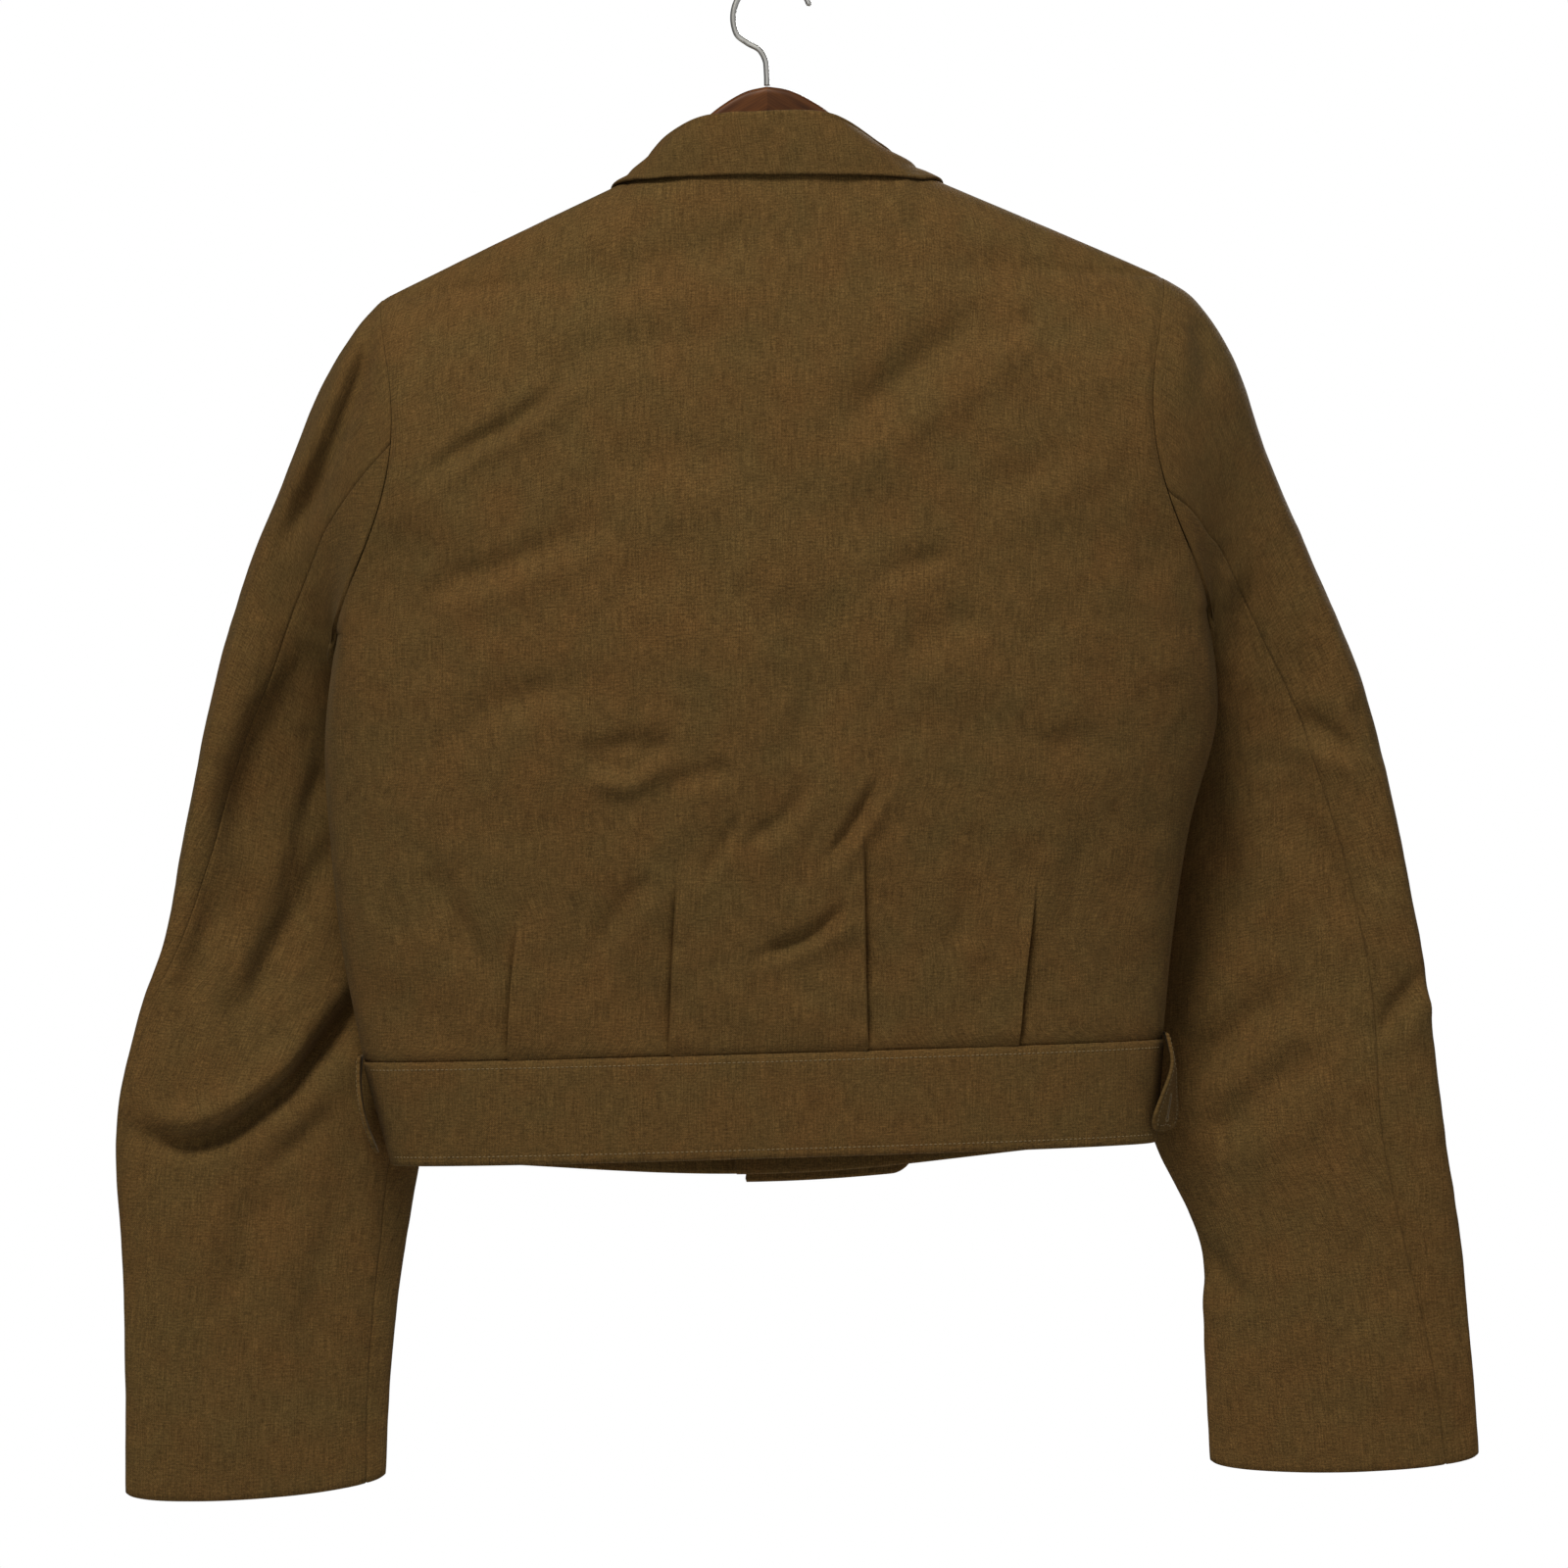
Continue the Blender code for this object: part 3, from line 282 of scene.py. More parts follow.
def armholeEdge(face, station):
    # half an ellipse from the shoulder point to the underarm, drawn in at half height
    turn = math.pi * np.clip(station, 0, 1)
    depth = cut["armholeBack"] if face == behind else cut["armholeFront"]
    x, z = (between(cut["shoulder" + axis], cut["underarm" + axis], turn) for axis in "XZ")
    y = between(0, cut["underarmY"], turn) + face * depth * np.sin(turn)
    return x - cut["armholeInset"] * np.sin(turn) ** 3, y, z


def armholeNormal(side, turn):
    # the way the cloth faces along the armhole; side is 0 for the sleeve, which faces down at the underarm, where
    # the body faces sideways
    depth = np.where(np.sin(turn) > 0, cut["armholeBack"], cut["armholeFront"])
    x = side * np.sin(turn / 2) ** 2 * holeFacing["aside"]
    y = -np.sin(turn) * holeFacing["behind"] / depth
    z = np.cos(turn) * holeFacing["up"] / (cut["shoulderZ"] - cut["underarmZ"])
    z = np.where(side == 0, z, z * ease((1 - np.abs(turn) / math.pi) / holeFacing["level"]))
    return unitOf(np.stack(np.broadcast_arrays(x, y, z), -1))


def bodyEdge(face, station, side):
    # armhole seam above the underarm, side seam below it
    x, y, z = armholeEdge(face, station)
    half = np.where(side < 0, reading(sideSeam, "left", station), reading(sideSeam, "right", station))
    below = np.clip(station - 1, 0, 1)
    return np.where(station < 1, x, half), y, z + (cut["waistZ"] - cut["underarmZ"]) * below


def halfWidth(station, side):
    return bodyEdge(behind, np.asarray(station, float), side)[0]


def sideDepth(face, z):
    # the armhole's depth above its middle, eased out to nothing some way below the underarm
    depth = cut["armholeBack"] if face == behind else cut["armholeFront"]
    middle, high = (cut["shoulderZ"] + cut["underarmZ"]) / 2, (cut["shoulderZ"] - cut["underarmZ"]) / 2
    upper = np.sqrt(np.clip(1 - ((z - middle) / high) ** 2, 0, 1))
    return face * depth * np.where(z > middle, upper, 1 - ease((middle - z) / cut["sideFade"]))


def bodySurface(face, station, across):
    # rows bulge as 1 - across^flatness from edge to centre line; the first ones follow shoulder and neck
    station, across = np.broadcast_arrays(np.clip(station, 0, 2), np.clip(across, -1, 1))
    edgeX, edgeY, edgeZ = bodyEdge(face, station, np.sign(across))
    midY, midZ = (reading(centreLine, ("back" if face == behind else "front") + axis, station) for axis in "YZ")
    reach = np.abs(across)
    z = edgeZ + (midZ - edgeZ) * (1 - reach ** 2) ** (1 + np.clip(station - 1, 0, 1))
    full = 1 - 0.5 * ease((cut["fullZ"] - z) / cut["fullOver"])
    bulge = np.clip(1 - reach ** cut["flatness"], 0, 1) ** full
    near = np.exp(-((1 - reach) / cut["edgeRoll"]) ** 2)  # the cloth rolls over its edge to the seam
    sideY = sideDepth(face, z)
    y = sideY + (midY - sideY) * bulge + (edgeY - sideDepth(face, edgeZ)) * near
    neck = cut["neckX"] / edgeX
    hollow = np.sqrt(np.clip(1 - (reach / neck) ** 2, 0, 1))
    ridgeZ = edgeZ + (cut["neckZ"] - cut["shoulderZ"]) * np.clip((1 - reach) / (1 - neck), 0, 1)
    top = np.clip(1 - station / cut["yoke"], 0, 1) ** 2
    y = y + (edgeY + (midY - edgeY) * hollow - y) * top
    z = z + (ridgeZ + (midZ + cut["neckRise"] - ridgeZ) * hollow - z) * top
    return tilted(across * edgeX, y, z)


def panelNormals(face, station, across, surface):
    # normals that turn, close to a seam, the way the neighbour's do
    facing = normalsOf(surface, np.clip(station, 1e-4, 2 - 1e-4), np.clip(across, -1 + 1e-4, 1 - 1e-4))
    outside = np.stack(np.broadcast_arrays(across ** 9, face + 0 * across, 0.4), -1)
    facing = facing * np.sign(np.sum(facing * outside, axis=-1, keepdims=True))
    atShoulder = ease(1 - station / turnIn["shoulder"])
    inNeck = np.abs(across) * halfWidth(0.0, 1) < cut["neckX"] - 1e-4
    atSide = ease(1 - (1 - np.abs(across)) / turnIn["side"])
    facing[..., 1] *= 1 - np.where(inNeck, 0, atShoulder)
    facing[..., 2] *= 1 - np.where(inNeck, atShoulder, 0)
    facing[..., 1] *= 1 - np.where(station > 1, atSide, 0)
    facing[..., 2] *= 1 - ease(1 - (2 - station) / turnIn["waist"])
    hole = armholeNormal(np.sign(across), math.pi * np.clip(station, 0, 1) * (-face))
    share = np.where(station <= 1, atSide, 0)[..., None]
    return unitOf(unitOf(facing) * (1 - share) + hole * share)


def panelRows(counts, power=1.0):
    # stations down to the underarm, then on to the waist, closer together at both ends
    upper, lower = counts
    return np.concatenate([np.linspace(0, 1, upper) ** power, 1 + graded(lower, 0.25)[1:]])


def seamFade(station, across, top):
    # 1 on a panel and 0 at its seams
    aside, low = (1 - np.abs(across)) / cut["seamFade"], (2 - station) / cut["seamFade"]
    return ease(aside) * ease(station / top) * ease(low)


# Folds and waves of the cloth
foldForm = {"steps": 25, "lipAt": 1.8, "lipWide": 1.3, "fade": 0.35}
waveForm = {
    "lengths": (0.105, 0.082, 0.064, 0.050, 0.040, 0.031, 0.025, 0.020, 0.016), "fall": 0.9,
    "bend": 1.2, "bendLength": 2.3, "patchy": 0.8, "patchAside": 3.7, "patchAlong": 4.3,
}


def foldRelief(x, z, folds):
    # a trough -exp(-(d/width)^2) along a smooth path, with a lip on the right of the path, faded at both ends
    relief = np.zeros_like(x)
    for width, depth, lip, path in folds:
        path = np.array(path, float) * mm
        chord = lengthAlong(path)
        at = np.linspace(0, chord[-1], foldForm["steps"])
        lineX, lineZ = (throughPoints(at, chord, path[:, k]) for k in range(2))
        runX, runZ = np.diff(lineX), np.diff(lineZ)
        dx, dz = x[..., None] - lineX[:-1], z[..., None] - lineZ[:-1]
        t = np.clip((dx * runX + dz * runZ) / (runX ** 2 + runZ ** 2), 0, 1)
        gap = np.hypot(dx - t * runX, dz - t * runZ)
        nearest = np.argmin(gap, axis=-1)[..., None]
        aside = np.take_along_axis(gap * np.sign(dx * runZ - dz * runX), nearest, -1)[..., 0] / (width * mm)
        along = (nearest + np.take_along_axis(t, nearest, -1))[..., 0] / len(runX)
        fade = ease(along / foldForm["fade"]) * ease((1 - along) / foldForm["fade"])
        raised = lip * np.exp(-((aside - foldForm["lipAt"]) / foldForm["lipWide"]) ** 2)
        relief = relief + depth * mm * fade * (raised - np.exp(-aside ** 2))
    return relief


def clothWaves(x, z, seed, height):
    # bent sine waves of falling length, turned and shifted by the seed, each strong only in patches
    draw = np.random.default_rng(seed)
    relief = np.zeros_like(x)
    for length in waveForm["lengths"]:
        turn, phase, bent, spot = draw.uniform(0, 2 * math.pi, 4)
        along = 2 * math.pi * (x * math.cos(turn) + z * math.sin(turn)) / length
        aside = 2 * math.pi * (z * math.cos(turn) - x * math.sin(turn)) / length
        bend = waveForm["bend"] * np.sin(aside / waveForm["bendLength"] + bent)
        spots = np.sin(aside / waveForm["patchAside"] + spot) * np.cos(along / waveForm["patchAlong"] + bent)
        strength = (length / waveForm["lengths"][0]) ** waveForm["fall"] * ease(0.5 + waveForm["patchy"] * spots)
        relief = relief + strength * np.sin(along + phase + bend)
    return height * relief / 2


# Meshes from grids
seamRoll = {"seam": 0.0014, "fine": 0.0005, "free": 0.0003, "wide": 0.0024, "turned": 0.3, "bead": 0.32,
            "close": 0.00030}
allFree = ("free",) * 4


def addMesh(name, points, faces, uv=None):
    # points and faces as arrays; uv is one place on the cloth for each point, in metres
    mesh = bpy.data.meshes.new(name)
    mesh.from_pydata(points.tolist(), [], faces.tolist() if hasattr(faces, "tolist") else faces)
    if uv is not None:
        corner = np.empty(len(mesh.loops), np.int32)
        mesh.loops.foreach_get("vertex_index", corner)
        mesh.uv_layers.new(name="cloth").data.foreach_set("uv", uv[corner].ravel().astype(np.float32))
    mesh.shade_smooth()
    mesh.update()
    piece = bpy.data.objects.new(name, mesh)
    bpy.context.scene.collection.objects.link(piece)
    return piece


def finishPiece(piece, material, slotName, nodes=()):
    piece.data.materials.append(material)
    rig.ride(piece, "root")
    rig.slot(piece, slotName)
    if nodes:
        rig.replaces(piece, *nodes)
    return piece


def edgeDistance(points):
    # how far each point is from the grid's top, right, bottom and left edge, along the cloth
    down = np.linalg.norm(np.diff(points, axis=0), axis=-1)
    over = np.linalg.norm(np.diff(points, axis=1), axis=-1)
    fromTop = np.pad(np.cumsum(down, axis=0), ((1, 0), (0, 0)))
    fromLeft = np.pad(np.cumsum(over, axis=1), ((0, 0), (1, 0)))
    return fromTop, fromLeft[:, -1:] - fromLeft, fromTop[-1:] - fromTop, fromLeft


def clothWall(name, outer, facing, thickness, edges, grain):
    # outer grid, the same grid moved in by the thickness, and a rounded rim; edges says for top, right, bottom and
    # left whether the cloth is rolled in at a seam or ends free
    rows, cols = outer.shape[:2]
    apart = edgeDistance(outer)
    # a seam is pressed less deep where the cloth turns over an edge
    pressed = seamRoll["turned"] + (1 - seamRoll["turned"]) * np.abs(facing[..., 1])
    for kind, distance in zip(edges, apart):
        roll = seamRoll[kind] * pressed * np.exp(-(distance / seamRoll["wide"]) ** 2)
        outer = outer - facing * roll[..., None]
    inner = outer - facing * thickness
    grid = np.arange(rows * cols).reshape(rows, cols)
    quads = np.stack([grid[:-1, :-1], grid[:-1, 1:], grid[1:, 1:], grid[1:, :-1]], -1).reshape(-1, 4)
    rim = np.concatenate([grid[0, :-1], grid[:-1, -1], grid[-1, :0:-1], grid[:0:-1, 0]])
    within = np.concatenate([grid[1, :-1], grid[:-1, -2], grid[-2, :0:-1], grid[:0:-1, 1]])
    bead = np.concatenate([np.full(count, seamRoll["bead"] * thickness if kind == "free" else seamRoll["close"])
                           for kind, count in zip(edges, (cols - 1, rows - 1, cols - 1, rows - 1))])
    flat, flatInner = outer.reshape(-1, 3), inner.reshape(-1, 3)
    outward = unitOf(flat[rim] - flat[within])
    middle = (flat[rim] + flatInner[rim]) / 2 + outward * bead[:, None]
    ring = 2 * rows * cols + np.arange(len(rim))
    step, ringStep = np.roll(rim, -1), np.roll(ring, -1)
    faces = np.concatenate([quads, quads[:, ::-1] + rows * cols,
                            np.stack([step, rim, ring, ringStep], -1),
                            np.stack([ringStep, ring, rim + rows * cols, step + rows * cols], -1)])
    middleRow, middleCol = rows // 2, cols // 2
    cross = np.cross(outer[middleRow, middleCol + 1] - outer[middleRow, middleCol],
                     outer[middleRow + 1, middleCol] - outer[middleRow, middleCol])
    if np.dot(cross, facing[middleRow, middleCol]) < 0:
        faces = faces[:, ::-1]
    u = apart[3] - apart[3][:, cols // 2][:, None]
    v = -np.broadcast_to(apart[0].mean(axis=1)[:, None], u.shape)
    uv = np.stack([u, v], -1).reshape(-1, 2) + np.array(grain)
    return addMesh(name, np.concatenate([flat, flatInner, middle]), faces, np.concatenate([uv, uv, uv[rim]]))


def sew(name, node, outer, facing, thickness, edges, sheet):
    # one piece of cloth in place of its node, with its own part of the weave and the size it was cut to
    grain = np.array([sum(map(ord, node)) % 97, len(node) * 7 % 31]) * 0.013
    piece = clothWall(name, outer, facing, thickness, edges, grain)
    finishPiece(piece, wool, "wool", [node])
    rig.sheet(piece, flat=sheet["flat"], held=sheet["held"], rests_on=sheet["on"], area=sheet.get("area"))
    return piece


# Materials

def nodeMaker(tree):
    # makes a node and sets its sockets by name or number
    def make(kind, links=(), **settings):
        node = tree.nodes.new(kind)
        for key, value in settings.items():
            if key == "values":
                for socket, number in value.items():
                    node.inputs[socket].default_value = number
            else:
                setattr(node, key, value)
        for socket, source in dict(links).items():
            tree.links.new(source, node.inputs[socket])
        return node
    return make


def newMaterial(name):
    # a material, the maker of its nodes, its link call and its shader
    material = bpy.data.materials.new(name)
    material.use_nodes = True
    tree = material.node_tree
    return material, nodeMaker(tree), tree.links.new, tree.nodes["Principled BSDF"]


def dress(link, shader, sources, settings):
    # colour, roughness and normal from sources, and the other sockets by name
    for socket, source in zip(("Base Color", "Roughness", "Normal"), sources):
        link(source, shader.inputs[socket])
    for socket, number in settings.items():
        shader.inputs[socket].default_value = number


woolLook = {
    "olive": (0.0880, 0.0530, 0.0166, 1), "brown": (0.0985, 0.0510, 0.0152, 1), "fleck": (0.170, 0.120, 0.050, 1),
    "bump": {"Strength": 0.40, "Distance": 0.0005},
    "shader": {"Specular IOR Level": 0.10, "Sheen Weight": 0.04, "Sheen Roughness": 0.5,
               "Sheen Tint": (0.75, 0.60, 0.36, 1)},
}


def weaveGroup():
    # colour: olive to brown by a broad noise, times threads that are noises stretched along and across the grain;
    # height: a fine diagonal twill plus the same threads
    group = bpy.data.node_groups.new("woolSerge", "ShaderNodeTree")
    for name, kind in (("Cloth", "NodeSocketVector"), ("Place", "NodeSocketVector"),
                       ("Olive", "NodeSocketColor"), ("Brown", "NodeSocketColor"), ("Fleck", "NodeSocketColor")):
        group.interface.new_socket(name, in_out="INPUT", socket_type=kind)
    for name, kind in (("Color", "NodeSocketColor"), ("Height", "NodeSocketFloat"), ("Rough", "NodeSocketFloat")):
        group.interface.new_socket(name, in_out="OUTPUT", socket_type=kind)
    make = nodeMaker(group)
    given = make("NodeGroupInput").outputs
    cloth, place = given["Cloth"], given["Place"]

    def noise(vector, scale, detail):
        stretched = make("ShaderNodeVectorMath", {0: vector}, operation="MULTIPLY", values={1: scale})
        return make("ShaderNodeTexNoise", {"Vector": stretched.outputs[0]},
                    values={"Scale": 1.0, "Detail": detail, "Roughness": 0.55}).outputs["Fac"]

    def ranged(value, low, high, outLow, outHigh):
        return make("ShaderNodeMapRange", {0: value}, values={1: low, 2: high, 3: outLow, 4: outHigh}).outputs[0]

    def maths(kind, one, two):
        node = make("ShaderNodeMath", operation=kind)
        for socket, value in ((0, one), (1, two)):
            if isinstance(value, float):
                node.inputs[socket].default_value = value
            else:
                group.links.new(value, node.inputs[socket])
        return node.outputs[0]

    def mixed(factor, one, two):
        node = make("ShaderNodeMix", {0: factor}, data_type="RGBA")
        colors = [socket for socket in node.inputs if socket.type == "RGBA"]
        for socket, source in zip(colors, (one, two)):
            group.links.new(source, socket)
        return [socket for socket in node.outputs if socket.type == "RGBA"][0]

    warp = noise(cloth, (1250.0, 62.0, 1.0), 2.0)
    weft = noise(cloth, (150.0, 1250.0, 1.0), 2.0)
    heather = noise(cloth, (1050.0, 900.0, 1.0), 2.0)
    speck = noise(cloth, (1500.0, 1300.0, 1.0), 1.0)
    mottle = noise(cloth, (120.0, 90.0, 1.0), 3.0)
    drift = noise(place, (11.0, 11.0, 9.0), 2.0)
    patch = noise(place, (42.0, 42.0, 36.0), 2.0)
    tone = maths("ADD", ranged(drift, 0.35, 0.65, 0.0, 0.45), ranged(patch, 0.35, 0.65, 0.0, 0.55))
    hue = mixed(tone, given["Olive"], given["Brown"])
    threads = ranged(warp, 0.3, 0.7, 0.76, 1.24)
    for other, low, high in ((weft, 0.75, 1.25), (heather, 0.64, 1.36), (mottle, 0.93, 1.07)):
        threads = maths("MULTIPLY", threads, ranged(other, 0.3, 0.7, low, high))
    shaded = make("ShaderNodeVectorMath", {0: hue, "Scale": threads}, operation="SCALE")
    color = mixed(ranged(speck, 0.64, 0.80, 0.0, 0.6), shaded.outputs[0], given["Fleck"])
    twill = make("ShaderNodeTexWave", {"Vector": cloth}, wave_type="BANDS", bands_direction="DIAGONAL",
                 values={"Scale": 560.0, "Distortion": 1.2, "Detail": 1.0}).outputs["Fac"]
    yarn = maths("ADD", maths("MULTIPLY", warp, 0.7), maths("MULTIPLY", weft, 0.6))
    height = maths("ADD", maths("MULTIPLY", twill, 0.35), yarn)
    make("NodeGroupOutput", {"Color": color, "Height": height, "Rough": ranged(threads, 0.75, 1.25, 0.98, 0.90)})
    return group


def woolMaterial():
    material, make, link, shader = newMaterial("oliveWool")
    where = make("ShaderNodeTexCoord").outputs
    weave = make("ShaderNodeGroup", node_tree=weaveGroup())
    for name in ("Olive", "Brown", "Fleck"):
        weave.inputs[name].default_value = woolLook[name.lower()]
    link(where["UV"], weave.inputs["Cloth"])
    link(where["Object"], weave.inputs["Place"])
    bump = make("ShaderNodeBump", {"Height": weave.outputs["Height"]}, values=woolLook["bump"])
    dress(link, shader, (weave.outputs["Color"], weave.outputs["Rough"], bump.outputs[0]), woolLook["shader"])
    return material


grains = {
    "plain": {"noise": {"Scale": 1.0, "Detail": 5.0, "Roughness": 0.6, "Distortion": 0.6},
              "stops": (0.32, 0.70), "spread": 0.15, "bump": {"Strength": 0.3, "Distance": 0.0002}},
    "wood": {"noise": {"Scale": 1.0, "Detail": 6.0, "Roughness": 0.62, "Distortion": 0.8},
             "stops": (0.30, 0.72), "spread": 0.20, "bump": {"Strength": 0.25, "Distance": 0.0002}},
}


def grainNodes(make, place, grain, dark, light, roughness):
    # one noise as two tones, a roughness and a fine bump
    figure = make("ShaderNodeTexNoise", {"Vector": place}, values=grain["noise"]).outputs["Fac"]
    ramp = make("ShaderNodeValToRGB", {"Fac": figure})
    for element, stop, tone in zip(ramp.color_ramp.elements, grain["stops"], (dark, light)):
        element.position, element.color = stop, (*tone, 1)
    low, high = roughness * (1 - grain["spread"]), roughness * (1 + grain["spread"])
    rough = make("ShaderNodeMapRange", {0: figure}, values={1: 0.3, 2: 0.7, 3: high, 4: low})
    bump = make("ShaderNodeBump", {"Height": figure}, values=grain["bump"])
    return ramp.outputs[0], rough.outputs[0], bump.outputs[0]


def plainMaterial(name, dark, light, stretch, roughness, metallic=0.0, specular=0.5):
    # two tones mixed by a stretched noise on the object's own coordinates
    material, make, link, shader = newMaterial(name)
    where = make("ShaderNodeTexCoord").outputs["Object"]
    place = make("ShaderNodeMapping", {"Vector": where}, values={"Scale": stretch}).outputs[0]
    dress(link, shader, grainNodes(make, place, grains["plain"], dark, light, roughness),
          {"Metallic": metallic, "Specular IOR Level": specular})
    return material


woodLook = {
    "dark": (0.040, 0.0130, 0.0045), "light": (0.132, 0.047, 0.0130), "joinX": -0.0028, "joinHalf": 0.0002,
    "slant": 0.55, "stretch": (22, 200, 380), "leftTone": 1.12, "rightTone": 0.82, "roughness": 0.42,
    "specular": 0.12,
}


def woodMaterial():
    # two halves with mirrored grain: a noise stretched along a line that slants down from the joint
    look = woodLook
    material, make, link, shader = newMaterial("mahogany")
    place = make("ShaderNodeSeparateXYZ", {0: make("ShaderNodeTexCoord").outputs["Object"]}).outputs
    aside = make("ShaderNodeMath", {0: place["X"]}, operation="SUBTRACT", values={1: look["joinX"]}).outputs[0]
    away = make("ShaderNodeMath", {0: aside}, operation="ABSOLUTE").outputs[0]
    across = make("ShaderNodeMath", {0: away, 2: place["Z"]}, operation="MULTIPLY_ADD", values={1: look["slant"]})
    half = make("ShaderNodeMapRange", {0: aside}, values={
        1: -look["joinHalf"], 2: look["joinHalf"], 3: look["leftTone"], 4: look["rightTone"]})
    grain = make("ShaderNodeCombineXYZ", {0: away, 1: place["Y"], 2: across.outputs[0]})
    long = make("ShaderNodeVectorMath", {0: grain.outputs[0]}, operation="MULTIPLY", values={1: look["stretch"]})
    tone, rough, bump = grainNodes(make, long.outputs[0], grains["wood"], look["dark"], look["light"],
                                   look["roughness"])
    toned = make("ShaderNodeVectorMath", {0: tone, "Scale": half.outputs[0]}, operation="SCALE")
    dress(link, shader, (toned.outputs[0], rough, bump), {"Specular IOR Level": look["specular"]})
    return material


wool = woolMaterial()
thread = plainMaterial("sewingThread", (0.13, 0.085, 0.032), (0.21, 0.145, 0.062), (900, 900, 900), 0.7)
wood = woodMaterial()
steel = plainMaterial("hookWire", (0.52, 0.51, 0.48), (0.70, 0.69, 0.66), (300, 300, 60), 0.34, metallic=1.0)
horn = plainMaterial("hornButton", (0.030, 0.018, 0.009), (0.085, 0.052, 0.026), (220, 90, 160), 0.38,
                     specular=0.4)
print("materials made")


# Back
tucks = {
    "lines": tableOf("footX topX topStation height shoulder", [
        (-0.1500, -0.1420, 1.64, 0.0036, -5 / 3),
        (-0.0580, -0.0520, 1.53, 0.0036, -5 / 9),
        (0.0540, 0.0515, 1.44, 0.0038, 5 / 9),
        (0.1395, 0.1505, 1.58, 0.0036, 5 / 3)]),
    "fold": 0.0010, "lap": 0.022, "lapBeyond": 0.0132, "dip": 0.30, "release": 0.20, "groove": 0.0034,
    "grooveWide": 0.0016, "pressed": 0.04, "pressedHeight": 0.35,
}
backCloth = {
    "rows": (96, 104), "gaps": (42, 40, 46, 40, 42), "topCrowd": 1.1, "crowd": 0.85, "wave": 0.0021, "seed": 3,
    "topFade": 0.12,
    "sheet": {"flat": (0.56, 0.53), "area": 0.255, "held": "hung", "on": ["hanger_arms"]},
    # width, depth and lip of each fold, then its path seen from behind: x and z in millimetres
    "folds": [
        (5.0, 5.6, 0.55, [(-206, -297), (-173, -269), (-146, -255), (-120, -234), (-104, -214)]),
        (8.0, 4.0, 0.6, [(-211, -373), (-185, -348), (-147, -334), (-115, -321), (-80, -313)]),
        (13.0, 9.0, 0.6, [(26, -272), (78, -226), (142, -176)]),
        (8.0, 3.2, 0.4, [(104, -232), (128, -206), (158, -190)]),
        (7.0, 3.8, 0.5, [(50, -347), (70, -340), (87, -333), (106, -328)]),
        (12.0, 4.2, 0.5, [(-191, -454), (-159, -418), (-120, -405), (-76, -398)]),
        (5.0, 4.6, 0.7, [(-110, -456), (-97, -449), (-78, -450), (-70, -442), (-52, -436)]),
        (8.0, 5.6, 0.3, [(-116, -443), (-88, -439), (-52, -433)]),
        (6.0, 2.6, 0.5, [(-66, -462), (-44, -455), (-16, -449)]),
        (5.4, 3.8, 0.3, [(-28, -498), (-8, -488), (9, -476), (19, -462), (31, -452)]),
        (4.2, 5.2, 0.6, [(26, -509), (36, -496), (48, -479), (58, -460), (62, -449)]),
        (4.4, 5.6, 0.3, [(-14, -560), (2, -552), (16, -547), (32, -536), (48, -521)]),
        (4.4, 3.0, 0.5, [(-42, -512), (-33, -502), (-25, -489), (-16, -474)]),
        (7.0, 3.6, 0.5, [(-102, -562), (-96, -548), (-86, -530), (-58, -505)]),
        (9.0, 3.4, 0.4, [(-203, -482), (-190, -515), (-178, -538), (-150, -580)]),
        (20.0, 5.2, 0.3, [(24, -310), (28, -385), (22, -470)]),
        (12.0, 3.2, 0.5, [(-132, -180), (-48, -160), (20, -142)]),
        (9.0, 2.5, 0.5, [(-150, -236), (-96, -214), (-44, -206)]),
        (14.0, 3.0, 0.6, [(-120, -292), (-60, -276), (2, -270)]),
        (10.0, 2.7, 0.6, [(60, -396), (96, -372), (128, -362)]),
        (10.0, 3.0, 0.5, [(110, -300), (150, -282), (182, -258)]),
        (11.0, 2.7, 0.5, [(120, -420), (160, -436), (205, -428)]),
        (8.0, 2.7, 0.5, [(92, -560), (108, -535), (118, -505)]),
        (9.0, 2.6, 0.5, [(178, -470), (172, -515), (160, -560)]),
    ],
}


def tuckAcross(i, station):
    # where a tuck's line crosses a row, as a share of the half width
    line = {name: column[i] for name, column in tucks["lines"].items()}
    side = math.copysign(1, line["footX"])
    shoulder = line["shoulder"] * cut["neckX"] / cut["shoulderX"]
    top = line["topX"] / halfWidth(line["topStation"], side)
    foot = line["footX"] / halfWidth(2.0, side)
    return np.interp(station, [0.0, line["topStation"], 2.0], [shoulder, top, foot])


def tuckRelief(station, across):
    # cloth rises to the fold's edge on the centre side, drops at it, and comes back beyond it
    relief = np.zeros_like(across)
    pressed = tucks["pressedHeight"] + (1 - tucks["pressedHeight"]) * ease((2 - station) / tucks["pressed"])
    for i, footX in enumerate(tucks["lines"]["footX"]):
        side = math.copysign(1, footX)
        out = (across - tuckAcross(i, station)) * side * halfWidth(station, side)
        shown = ease((station - tucks["lines"]["topStation"][i]) / tucks["release"]) * pressed
        height = tucks["lines"]["height"][i]
        raised = height * np.exp(np.minimum(out, 0) / tucks["lap"])
        dipped = -tucks["dip"] * height * np.exp(-np.maximum(out, 0) / tucks["lapBeyond"])
        groove = -tucks["groove"] * np.exp(-np.maximum(out, 0) / tucks["grooveWide"])
        relief = relief + shown * np.where(out < 0, raised, dipped + groove)
    return relief


